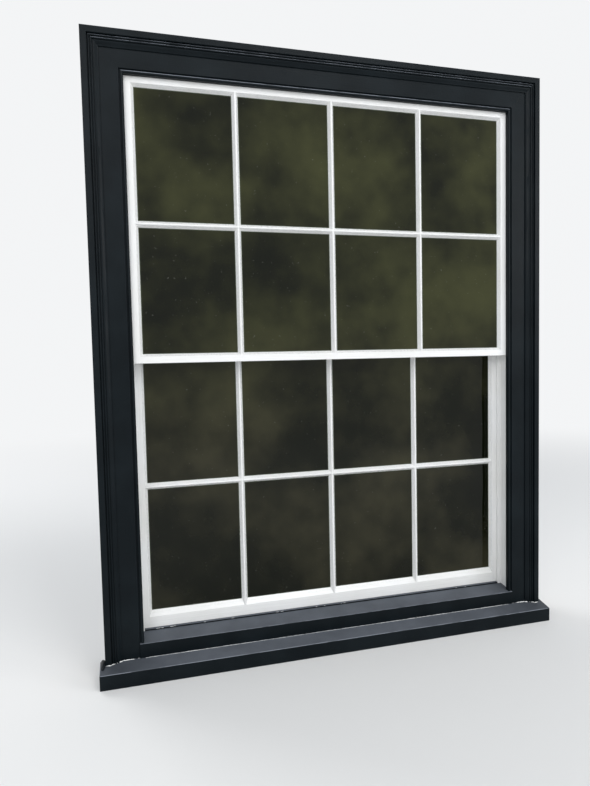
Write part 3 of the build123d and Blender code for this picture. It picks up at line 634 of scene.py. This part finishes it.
def lattice(
    name: str, points: np.ndarray, round_v: bool = False, uv: Optional[np.ndarray] = None,
) -> bpy.types.Object:
    """Makes a mesh object from a grid of points.

    Quad (i, j) joins points (i, j), (i, j+1), (i+1, j+1) and (i+1, j). Where the columns are round, the last
    joins the first, and a flat face closes the first row and another the last.

    Args:
        name: The object's name.
        points: Array of rows by columns by 3, or of copies by rows by columns by 3.
        round_v: Whether the last column joins the first.
        uv: Array of rows by columns by 2, or none; where the columns are round it has one more of them, a
            turn on from the first.

    Returns:
        The object, linked to the scene.
    """
    rows, columns = points.shape[-3:-1]
    i, j = np.meshgrid(np.arange(rows - 1), np.arange(columns - (not round_v)), indexing="ij")
    row, next_row, next_j = i * columns, (i + 1) * columns, (j + 1) % columns
    quads = np.stack([row + j, row + next_j, next_row + next_j, next_row + j], -1)
    ring = np.arange(columns)
    ends = [ring[::-1], (rows - 1) * columns + ring] if round_v else []
    copies = points.reshape(-1, rows * columns, 3)
    faces = []
    for first in range(0, copies[..., 0].size, rows * columns):
        faces += (quads.reshape(-1, 4) + first).tolist() + [(end + first).tolist() for end in ends]
    mesh = bpy.data.meshes.new(name)
    mesh.from_pydata(copies.reshape(-1, 3).tolist(), [], faces)
    mesh.polygons.foreach_set("use_smooth", np.ones(len(mesh.polygons), bool))
    if uv is not None:
        corners = np.stack([uv[i, j], uv[i, j + 1], uv[i + 1, j + 1], uv[i + 1, j]], axis=2).reshape(-1, 2)
        caps = [uv[0, ring[::-1]], uv[-1, ring]] if ends else []
        loops = np.concatenate([corners, *caps]).astype(np.float32)
        mesh.uv_layers.new(name="UVMap").data.foreach_set("uv", loops.ravel())
    mesh.update()
    piece = bpy.data.objects.new(name, mesh)
    bpy.context.scene.collection.objects.link(piece)
    return piece


def dress(piece: bpy.types.Object, finish: bpy.types.Material) -> None:
    """Puts a finish into every slot of a new piece or a CAD node."""
    if not piece.material_slots:
        piece.data.materials.append(finish)
    for slot in piece.material_slots:
        slot.material = finish


def sphere(rows: int, columns: int, opening: float) -> tuple[np.ndarray, np.ndarray, np.ndarray]:
    """Points of a unit sphere by two angles: (sin rise cos turn, sin rise sin turn, cos rise).

    Args:
        rows: Rings, from the bottom up.
        columns: Points round each ring.
        opening: Angle from a pole to the ring next to it.

    Returns:
        The rise and the turn of each point, and the points, as rows by columns.
    """
    rises = np.linspace(math.pi - opening, opening, rows)
    turns = np.linspace(0, 2 * math.pi, columns, endpoint=False)
    rise, turn = np.meshgrid(rises, turns, indexing="ij")
    return rise, turn, np.stack([np.sin(rise) * np.cos(turn), np.sin(rise) * np.sin(turn), np.cos(rise)], -1)


def tube(name: str, path: np.ndarray, radius: np.ndarray, side: Point, sectors: int = 20) -> bpy.types.Object:
    """Round tube along a path: each ring is radius * (cos a * side + sin a * (tangent x side)).

    Args:
        name: The object's name.
        path: Array of n by 3 points.
        radius: Radius at each point; 0 closes an end.
        side: Unit vector across the path.
        sectors: Points round each ring.

    Returns:
        The object, with U once round and V in metres along it.
    """
    tangent = np.gradient(path, axis=0)
    tangent /= np.linalg.norm(tangent, axis=1)[:, None]
    across = np.array(side) - tangent * (tangent @ np.array(side))[:, None]
    across /= np.linalg.norm(across, axis=1)[:, None]
    third = np.cross(tangent, across)
    angle = np.linspace(0, 2 * math.pi, sectors, endpoint=False)[None, :, None]
    spokes = np.cos(angle) * across[:, None] + np.sin(angle) * third[:, None]
    points = path[:, None] + radius[:, None, None] * spokes
    run = np.concatenate([[0], np.cumsum(np.linalg.norm(np.diff(path, axis=0), axis=1))])
    turns = np.linspace(0, 1, sectors + 1)
    uv = np.stack(np.broadcast_arrays(turns[None, :], run[:, None]), -1)
    return lattice(name, points, round_v=True, uv=uv)


class Finishes:
    """Every material of the window, made once."""

    def __init__(self) -> None:
        """Builds the materials."""
        self.black = {g: BlackPaint(f"black_paint_{g.name.lower()}", g).build() for g in Grain}
        self.white = {g: WhitePaint(f"white_paint_{g.name.lower()}", g).build() for g in Grain}
        self.lining = {
            g: BlackPaint(f"lining_paint_{g.name.lower()}", g, rear=WhitePaint.colour).build() for g in Grain}
        self.pine = {g: BareWood(f"bare_pine_{g.name.lower()}", g).build() for g in Grain}
        plain = Grain.ALL_ROUND
        self.putty = WhitePaint("painted_putty", plain, soiling=0.42).build()
        self.fitting = WhitePaint("painted_fitting", plain, (0.79, 0.79, 0.775), soiling=0.5).build()
        self.glass = {s: WindowGlass(f"{s}_glass", PaneGrid.of(s)).build() for s in ("upper", "lower")}
        self.brass = Metal("tarnished_brass", (0.62, 0.44, 0.17), (0.23, 0.14, 0.055), 0.24).build()
        self.steel = Metal("worn_steel", (0.55, 0.55, 0.54), (0.22, 0.19, 0.17), 0.30).build()
        self.iron = Metal(
            "cast_iron", (0.055, 0.045, 0.038), (0.11, 0.05, 0.026), 0.55,
            lumps=90.0, depth=0.0006, metallic=0.55).build()
        self.cord = BraidedCotton("waxed_cotton").build()
        self.sealant = WhitePaint("old_sealant", plain, (0.80, 0.80, 0.79), soiling=0.25).build()
        self.filler = BlackPaint("black_filler", plain, dust=(0.020, 0.022, 0.025)).build()
        # light bluish grey paint line for the sub-sill's back seam; its colour is partly a painted highlight
        self.paint_line = WhitePaint("worn_paint_line", plain, (0.42, 0.44, 0.46), soiling=0.4).build()
        self.stage = StagePaper("stage_paper", Studio.backdrop).build()


@dataclass
class Joinery:
    """The CAD nodes of wood, glass and metal, each with the finish of its board."""

    finishes: Finishes
    level_words: tuple[str, ...] = ("sill", "head", "rail", "cross_bar")

    def grain(self, node: str) -> Grain:
        """Direction of a node's boards, from its name."""
        return Grain.LEVEL if any(word in node for word in self.level_words) else Grain.UPRIGHT

    def finish(self, node: str, slot: str) -> bpy.types.Material:
        """Finish of a node.

        Args:
            node: The node's name.
            slot: Its material slot in the record.

        Returns:
            The material.
        """
        f = self.finishes
        boards = {"black_paint": f.black, "white_paint": f.white, "bare_wood": f.pine}
        if node.startswith("outer_lining"):
            return f.lining[self.grain(node)]
        if slot in boards:
            return boards[slot][self.grain(node)]
        if slot == "glass":
            return f.glass[node.split("_")[0]]
        plain = {
            "putty": f.putty, "white_metal": f.fitting, "brass": f.brass, "steel": f.steel,
            "cast_iron": f.iron, "cord": f.cord,
        }
        return plain[slot]

    def dress_all(self) -> None:
        """Puts the finishes into the slots of the CAD nodes."""
        slots = {part["node"]: part["material_slot"] for part in frame["record"]["subparts"]}
        for name, node in frame["nodes"].items():
            dress(node, self.finish(name, slots[name]))
        log.info("dressed %d nodes", len(slots))


@dataclass
class SashCord:
    """One sash cord in two runs that part at the pulley: one runs down to the sash, one over the wheel down
    to the weight.

    Each ends in a ball knot. The strand is a share of the cord's radius, the finest ring one of the strand's,
    and the taper is how fast the strand swells from its ends.
    """

    finishes: Finishes
    sash: str
    hand: Hand
    radius: float = 0.003
    pitch_radius: float = 0.0265
    knot_radius: float = 0.0067
    knot_turns: float = 2.6
    knot_rings: int = 150
    knot_sectors: int = 14
    strand: float = 0.8
    finest_ring: float = 0.12
    taper: float = 12.0
    straight_rings: int = 160
    bend_rings: int = 40
    eye_roof: float = 0.010
    knot_gap: float = 0.0003
    fixing_drop: float = 0.250
    same_height: float = 0.001

    @property
    def node(self) -> str:
        """The CAD node that the pieces stand for."""
        return f"{self.sash}_cord_{self.hand.word}"

    def knot(self, name: str, centre: np.ndarray, body: str) -> bpy.types.Object:
        """Ball knot: a cord wound round a ball, radius sqrt(R^2 - z^2) less the strand, while z rises.

        Args:
            name: The object's name.
            centre: Centre of the ball.
            body: The body that it rides on.

        Returns:
            The knot.
        """
        strand = self.radius * self.strand
        t = np.linspace(-1, 1, self.knot_rings)
        z = t * (self.knot_radius - strand)
        finest = (self.finest_ring * strand) ** 2
        ring = np.sqrt(np.maximum((self.knot_radius - strand) ** 2 - z ** 2, finest))
        angle = t * math.pi * self.knot_turns
        path = centre + np.stack([ring * np.cos(angle), ring * np.sin(angle), z], -1)
        radius = strand * np.minimum(1.0, (1.0 - np.abs(t)) * self.taper)
        piece = tube(name, path, radius, (0, 0, 1), self.knot_sectors)
        return self.attach(piece, body)

    def attach(self, piece: bpy.types.Object, body: Optional[str] = None) -> bpy.types.Object:
        """Dresses a piece of the cord and parents it to a body, if one is given.

        Args:
            piece: The piece.
            body: The body that it rides on, or None to leave it where it is.

        Returns:
            The piece.
        """
        dress(piece, self.finishes.cord)
        if body is not None:
            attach(piece, body)
        return piece

    def build(self) -> list[bpy.types.Object]:
        """Makes the sash's run, the weight's run and the two knots.

        Returns:
            The pieces.
        """
        low, high = (np.array(corner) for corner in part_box(self.node))
        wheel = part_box(f"{self.sash}_pulley_wheel_{self.hand.word}")
        axle = (np.array(wheel[0]) + np.array(wheel[1])) / 2
        track = axle[1]
        side = self.hand.value
        sash_x, weight_x = axle[0] - side * self.pitch_radius, axle[0] + side * self.pitch_radius
        sash_body, weight_body = f"{self.sash}_sash", f"{self.sash}_weight_{self.hand.word}"
        weight_knot = np.array([weight_x, track, self.weight_knot_height(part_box(weight_body)[1][2])])
        inner = low[0] if side > 0 else high[0]
        knot_x, knot_z = inner + side * self.knot_radius, self.sash_knot_height(low, weight_knot)
        sash_knot = np.array([knot_x, track, knot_z])
        foot, tangent_point = [sash_x, track, sash_knot[2]], [sash_x, track, axle[2]]
        sash_path = np.linspace(foot, tangent_point, self.straight_rings)
        bend = np.linspace(0, math.pi, self.bend_rings)
        arc = axle + self.pitch_radius * np.stack([-side * np.cos(bend), 0 * bend, np.sin(bend)], -1)
        drop = np.linspace([weight_x, track, axle[2]], weight_knot, self.straight_rings)[1:]
        weight_path = np.concatenate([arc, drop])
        runs = []
        for word, path, body, start, end in (
            ("sash_run", sash_path, sash_body, sash_path[-1], sash_path[0]),
            ("weight_run", weight_path, weight_body, drop[0], drop[-1]),
        ):
            run = self.attach(tube(f"{self.node}_{word}", path, np.full(len(path), self.radius), (0, 1, 0)))
            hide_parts(self.node)
            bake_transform(run)
            runs.append(run)
        knots = [
            self.knot(f"{self.node}_sash_knot", sash_knot, sash_body),
            self.knot(f"{self.node}_weight_knot", weight_knot, weight_body),
        ]
        log.info("cord %s: %d pieces", self.node, len(runs) + len(knots))
        return runs + knots

    def weight_knot_height(self, weight_top: float) -> float:
        """Height of the knot in the weight's eye: below the iron roof of the eye, a gap and half the knot."""
        return weight_top - self.eye_roof - self.knot_gap - self.knot_radius

    def sash_knot_height(self, low: np.ndarray, weight_knot: np.ndarray) -> float:
        """Height of the knot in the stile: the cord's lowest point is one of the two knots' undersides.

        Args:
            low: Lowest corner of the cord's node.
            weight_knot: Centre of the knot in the weight.

        Returns:
            The height.
        """
        if weight_knot[2] - self.knot_radius > low[2] + self.same_height:
            return low[2] + self.knot_radius
        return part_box(f"{self.sash}_stile_{self.hand.word}")[1][2] - self.fixing_drop


@dataclass
class Screw:
    """Slotted countersunk screw head, flush in its plate."""

    radius: float = 0.0033
    crown: float = 0.00035
    dome: float = 0.6
    slot_width: float = 0.0009
    slot_depth: float = 0.0005
    slot_softness: float = 0.2
    sectors: int = 48
    steps: tuple[float, ...] = (1e-4, *np.linspace(0.12, 0.94, 12), 1.0, 1.0)

    def build(self, name: str, centre: Point, normal: Point, turn: float, body: str,
              finish: bpy.types.Material, slot: str) -> bpy.types.Object:
        """Head surface: height = crown * (1 - dome * r^2), less the slot's depth where v is near 0.

        The last ring goes down into the plate.

        Args:
            name: The object's name.
            centre: Middle of the head on the plate.
            normal: Outward direction.
            turn: Angle of the slot.
            body: The body that it rides on.
            finish: The material.
            slot: The record's material slot; not used.

        Returns:
            The screw head.
        """
        angles = np.linspace(0, -2 * math.pi, self.sectors, endpoint=False)
        r, a = np.meshgrid(self.steps, angles, indexing="ij")
        u, v = r * np.cos(a), r * np.sin(a)
        edge = (np.abs(v) * self.radius - self.slot_width / 2) / (self.slot_width * self.slot_softness)
        groove = self.slot_depth / (1 + np.exp(np.clip(edge, -30, 30)))
        height = self.crown * (1 - self.dome * r ** 2) - groove * (r < self.steps[-1])
        height[-1] = -self.crown
        n = np.array(normal, float)
        across = np.cross(n, [0.0, 0.0, 1.0] if abs(n[2]) < 0.9 else [1.0, 0.0, 0.0])
        across /= np.linalg.norm(across)
        along = np.cross(n, across)
        first = math.cos(turn) * across + math.sin(turn) * along
        second = np.cross(n, first)
        points = np.array(centre) + self.radius * (u[..., None] * first + v[..., None] * second)
        points = points + height[..., None] * n
        piece = lattice(name, points, round_v=True)
        dress(piece, finish)
        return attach(piece, body)


@dataclass
class FixingScrews:
    """The screws of the fastener, the keep, the lifts and the pulleys' face plates."""

    finishes: Finishes
    screw: Screw = field(default_factory=Screw)
    base_inset: float = 0.009
    base_thickness: float = 0.003
    keep_inset: float = 0.006
    keep_thickness: float = 0.002
    lift_insets: Span = (0.0048, 0.0412)
    lift_middle: float = 0.0105
    lift_thickness: float = 0.0025
    pulley_rises: Span = (-0.0435, 0.0435)

    def build(self) -> list[bpy.types.Object]:
        """Places every screw by the box of the plate that it holds.

        Returns:
            The screws.
        """
        made = []
        white = (self.finishes.fitting, "white_metal")
        low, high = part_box("fastener_base")
        middle_y, top = (low[1] + high[1]) / 2, low[2] + self.base_thickness
        for number, x in enumerate((low[0] + self.base_inset, high[0] - self.base_inset)):
            made.append(self.screw.build(
                f"fastener_screw_{number}", (x, middle_y, top), (0, 0, 1), 0.6 + number,
                "lower_sash", *white))
        low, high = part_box("fastener_keep")
        y, top = low[1] + self.keep_inset, low[2] + self.keep_thickness
        for number, x in enumerate((low[0] + self.keep_inset, high[0] - self.keep_inset)):
            made.append(self.screw.build(
                f"keep_screw_{number}", (x, y, top), (0, 0, 1), 1.1 * number, "upper_sash", *white))
        low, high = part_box("sash_lifts")
        y, z = low[1] + self.lift_thickness, low[2] + self.lift_middle
        for hand, x in ((Hand.LEFT, low[0]), (Hand.RIGHT, high[0])):
            for number, inset in enumerate(self.lift_insets):
                made.append(self.screw.build(
                    f"lift_screw_{hand.word}_{number}", (x - hand.value * inset, y, z), (0, 1, 0),
                    0.4 + number, "lower_sash", *white))
        for hand in Hand:
            stile_low, stile_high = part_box(f"pulley_stile_{hand.word}")
            face = stile_low[0] if hand is Hand.RIGHT else stile_high[0]
            for sash in ("upper", "lower"):
                low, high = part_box(f"{sash}_pulley_wheel_{hand.word}")
                y, z = (low[1] + high[1]) / 2, (low[2] + high[2]) / 2
                for number, rise in enumerate(self.pulley_rises):
                    made.append(self.screw.build(
                        f"{sash}_pulley_screw_{hand.word}_{number}", (face, y, z + rise), (-hand.value, 0, 0),
                        0.3 + 2 * number, "frame", self.finishes.brass, "brass"))
        log.info("screws: %d", len(made))
        return made


@dataclass
class PaintEdge:
    """Thin uneven bead of sealant or paint where two boards of the frame meet.

    Fullness and waver are the mean and the swing of its radius, as shares; wander is its swing along Y.
    """

    finish: bpy.types.Material
    radius: float
    waver: float
    fullness: float
    wander: float
    seed: int
    step: float = 0.004
    fewest_rings: int = 24
    thinnest: float = 0.15
    point: float = 1e-5
    rates: tuple[float, ...] = (37.0, 61.0, 113.0, 211.0, 340.0, 523.0)

    def build(self, name: str, corners: list[Point], slot: str) -> bpy.types.Object:
        """Bead along a bent line: radius times (fullness + waver * sum of sines), with a point at each end.

        Args:
            name: The object's name.
            corners: Points of the line.
            slot: The record's material slot; not used.

        Returns:
            The bead.
        """
        points = np.array(corners, float)
        lengths = np.linalg.norm(np.diff(points, axis=0), axis=1)
        stations = np.concatenate([[0], np.cumsum(lengths)])
        rings = max(self.fewest_rings, int(stations[-1] / self.step))
        s = np.linspace(0, stations[-1], rings)
        path = np.stack([np.interp(s, stations, points[:, axis]) for axis in range(3)], -1)
        phases = np.random.default_rng(self.seed).uniform(0, 2 * math.pi, (2, len(self.rates)))
        waves, drift = (sum(np.sin(s * f + p) for f, p in zip(self.rates, row)) / 3 for row in phases)
        radius = self.radius * np.maximum(self.fullness + self.waver * waves, self.thinnest)
        radius[[0, -1]] = self.point
        path[:, 1] += self.wander * drift
        piece = tube(name, path, radius, (0, 0, 1), 10)
        dress(piece, self.finish)
        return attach(piece, "frame")


@dataclass
class PaintFlecks:
    """Chips of the sash's white paint left on the bench under the bottom rail."""

    finishes: Finishes
    count: int = 17
    half_height: float = 0.0005
    half_depth: float = 0.0008
    half_lengths: Span = (0.0015, 0.0075)
    crowding: float = 1.6
    shrinking: float = 0.6
    seed: int = 11

    def build(self, name: str, start: Point, end: Point, slot: str) -> bpy.types.Object:
        """Flat ellipsoids at random places along a line, more of them and longer ones near its start.

        Args:
            name: The object's name.
            start: Start of the line.
            end: End of the line.
            slot: The record's material slot; not used.

        Returns:
            The flecks, as one piece.
        """
        random = np.random.default_rng(self.seed)
        share = random.uniform(0, 1, self.count) ** self.crowding
        half_lengths = random.uniform(*self.half_lengths, self.count) * (1.0 - self.shrinking * share)
        centres = np.array(start) + share[:, None] * (np.array(end) - np.array(start))
        centres[:, 1] += random.uniform(-1, 1, self.count) * self.half_depth
        ball = sphere(7, 12, 1e-2)[2]
        depth, height = (np.full(self.count, half) for half in (self.half_depth, self.half_height))
        radii = np.stack([half_lengths, depth, height], -1)[:, None, None]
        piece = lattice(name, centres[:, None, None] + radii * ball, round_v=True)
        dress(piece, self.finishes.white[Grain.ALL_ROUND])
        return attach(piece, "frame")


@dataclass
class Studio:
    """Floor, soft lamps, pale surroundings and the camera."""

    finishes: Finishes
    backdrop: ClassVar[Colour] = (0.90, 0.91, 0.92)
    sky: Colour = (0.90, 0.94, 1.0)
    sky_strength: float = 0.56
    floor_reach: float = 40.0
    floor_drop: float = 0.0005
    focal_pixels: float = 595.13
    frame_height: int = 786
    camera_place: Point = (-0.6190, -1.7872, 0.9276)
    right: Point = (0.96474402, -0.26229142, -0.02172961)
    down: Point = (-0.03640128, -0.05120728, -0.99802443)
    forward: Point = (0.26066053, 0.96362909, -0.05894966)

    def lay_floor(self) -> None:
        """A pale floor under the sub-sill."""
        reach = np.linspace(-self.floor_reach, self.floor_reach, 9)
        x, y = np.meshgrid(reach, reach, indexing="ij")
        floor = lattice("stage_floor", np.stack([y, x, np.full_like(x, -self.floor_drop)], -1))
        dress(floor, self.finishes.stage)

    def light(self) -> None:
        """World and lamps: the world is pale to the camera and in reflections, and softer as light."""
        world = bpy.data.worlds.new("studio")
        bpy.context.scene.world = world
        g = Graph("studio", world)
        soft = g.node("ShaderNodeBackground", {}, {"Color": (*self.sky, 1.0), "Strength": self.sky_strength})
        pale = g.node("ShaderNodeBackground", {}, {"Color": (*self.backdrop, 1.0), "Strength": 1.0})
        mix = g.node("ShaderNodeMixShader", {}, {0: g.seen(), 1: soft.outputs[0], 2: pale.outputs[0]})
        g.node("ShaderNodeOutputWorld", {}, {"Surface": mix.outputs[0]})
        for name, place, aim, size, power in (
            ("lamp_sky", (-2.9, -5.5, 3.8), (0.0, 0.0, 0.8), 3.4, 150.0),
            ("lamp_front", (1.4, -3.7, 5.4), (0.0, 0.0, 0.6), 2.2, 108.0),
            ("lamp_side", (4.5, -3.0, 2.3), (0.0, 0.0, 0.8), 2.2, 80.0),
            ("lamp_room", (-3.6, 4.4, 4.4), (0.0, 0.0, 0.9), 3.2, 145.0),
        ):
            self.lamp(name, place, aim, size, power)

    def lamp(self, name: str, place: Point, aim: Point, size: float, power: float) -> None:
        """One square soft lamp.

        Args:
            name: Its name.
            place: Where it hangs.
            aim: What it points at.
            size: Length of its side.
            power: Watts.
        """
        data = bpy.data.lights.new(name, "AREA")
        data.shape, data.size, data.energy = "SQUARE", size, power
        lamp = bpy.data.objects.new(name, data)
        bpy.context.scene.collection.objects.link(lamp)
        back = np.array(place) - np.array(aim)
        back /= np.linalg.norm(back)
        across = np.cross([0.0, 0.0, 1.0], back)
        across /= np.linalg.norm(across)
        lamp.matrix_world = self.stand(place, across, np.cross(back, across), back)

    @staticmethod
    def stand(place: Any, x: Any, y: Any, z: Any) -> Matrix:
        """Matrix whose columns are three axes and a place."""
        return Matrix([[x[i], y[i], z[i], place[i]] for i in range(3)] + [[0, 0, 0, 1]])

    def aim_camera(self) -> None:
        """Camera of the photograph: focal length in pixels over the frame's height gives the lens."""
        data = bpy.data.cameras.new("camera")
        data.sensor_width = 36.0
        data.lens = self.focal_pixels * data.sensor_width / self.frame_height
        data.clip_start, data.clip_end = 0.05, 60.0
        camera = bpy.data.objects.new("camera", data)
        bpy.context.scene.collection.objects.link(camera)
        up = tuple(-c for c in self.down)
        back = tuple(-c for c in self.forward)
        camera.matrix_world = self.stand(self.camera_place, self.right, up, back)
        bpy.context.scene.camera = camera

    def build(self) -> None:
        """Sets up the whole stage."""
        self.lay_floor()
        self.light()
        self.aim_camera()
        bpy.context.scene.view_settings.view_transform = "Standard"
        log.info("studio ready")


@dataclass
class SillEdges:
    """Paint, sealant and filler of the sill: round the casing's feet, on the sub-sill's slope, on the bench.

    Each foot step is a distance out from the architrave's inner edge, and one back from its foremost face.
    """

    finishes: Finishes
    nose_height: float = 0.044
    bench_reach: float = 0.008
    bench_drop: float = 0.00145
    seam_proud: float = 0.0004
    foot_start: float = 0.012
    foot_depth: float = 0.0020
    foot_steps: tuple[Span, ...] = (
        (0.0, 0.0125), (0.013, 0.0070), (0.028, 0.0040), (0.029, 0.0006), (0.047, 0.0002))
    fleck_margin: float = 0.02
    lump_radii: Point = (0.0084, 0.0280, 0.0105)
    lump_inset: float = 0.0091
    lump_sink: float = 0.0040

    def build(self) -> list[bpy.types.Object]:
        """Places the beads by the boxes of the sill, linings, architraves and bottom rail.

        Returns:
            The beads, the flecks and the lump of filler.
        """
        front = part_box("sill")[0][1]
        sub_low, sub_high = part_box("sub_sill")
        bed = sub_high[2]
        slope = (bed - self.nose_height) / (front - sub_low[1])
        # the seam bead is a paint line whose light grey also paints the highlight along the sub-sill's back
        # edge
        seam = PaintEdge(self.finishes.paint_line, 0.0009, waver=0.35, fullness=0.9, wander=0.0003, seed=7)
        feet = PaintEdge(self.finishes.sealant, 0.0014, waver=0.60, fullness=0.75, wander=0.0014, seed=5)
        edges = [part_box(f"outer_lining_{hand.word}")[hand is Hand.LEFT][0] for hand in Hand]
        made = [seam.build("sub_sill_seam", [(x, front - self.seam_proud, bed) for x in edges], "putty")]
        for hand in Hand:
            side = hand.value
            arch_low, arch_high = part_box(f"architrave_{hand.word}")
            inner, outer = (arch_low[0], arch_high[0]) if side > 0 else (arch_high[0], arch_low[0])
            foot_y, back_y = arch_low[1], front + self.foot_depth
            corners = [(edges[side > 0] + side * self.foot_start, back_y), (inner, back_y)]
            corners += [(inner + side * run, foot_y + depth) for run, depth in self.foot_steps]
            corners.append((outer, foot_y - self.seam_proud))
            line = [(x, y, bed - max(front - y, 0.0) * slope) for x, y in corners]
            made.append(feet.build(f"foot_sealant_{hand.word}", line, "putty"))
        rail_low, rail_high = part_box("lower_bottom_rail")
        arris = (rail_low[1] - self.bench_reach, rail_low[2] - self.bench_drop)
        line = [(x, *arris) for x in (rail_low[0] + self.fleck_margin, rail_high[0] - self.fleck_margin)]
        made.append(PaintFlecks(self.finishes).build("bench_paint_flecks", *line, "white_paint"))
        made.append(self.filler_lump((sub_low[0] + self.lump_inset, front, bed - self.lump_sink)))
        log.info("sill beads: %d", len(made))
        return made

    def filler_lump(self, centre: Point) -> bpy.types.Object:
        """Painted filler on the sub-sill's left end: an ellipsoid whose radii waver with its two angles.

        Args:
            centre: Its middle.

        Returns:
            The lump.
        """
        rise, turn, unit = sphere(24, 36, 1e-3)
        waver = 0.07 * np.sin(3 * turn + 1.0) + 0.05 * np.cos(2 * rise + turn)
        swell = 1 + waver * np.sin(rise)
        points = np.array(centre) + np.array(self.lump_radii) * unit * swell[..., None]
        lump = lattice("sub_sill_filler", points, round_v=True)
        dress(lump, self.finishes.filler)
        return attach(lump, "frame")


def main() -> None:
    """Builds the window's finishes and pieces in order."""
    logging.basicConfig(level=logging.INFO, format="%(message)s")
    finishes = Finishes()
    Studio(finishes).build()
    Joinery(finishes).dress_all()
    for sash in ("upper", "lower"):
        for hand in Hand:
            SashCord(finishes, sash, hand).build()
    FixingScrews(finishes).build()
    SillEdges(finishes).build()


if __name__ == "__main__":
    main()
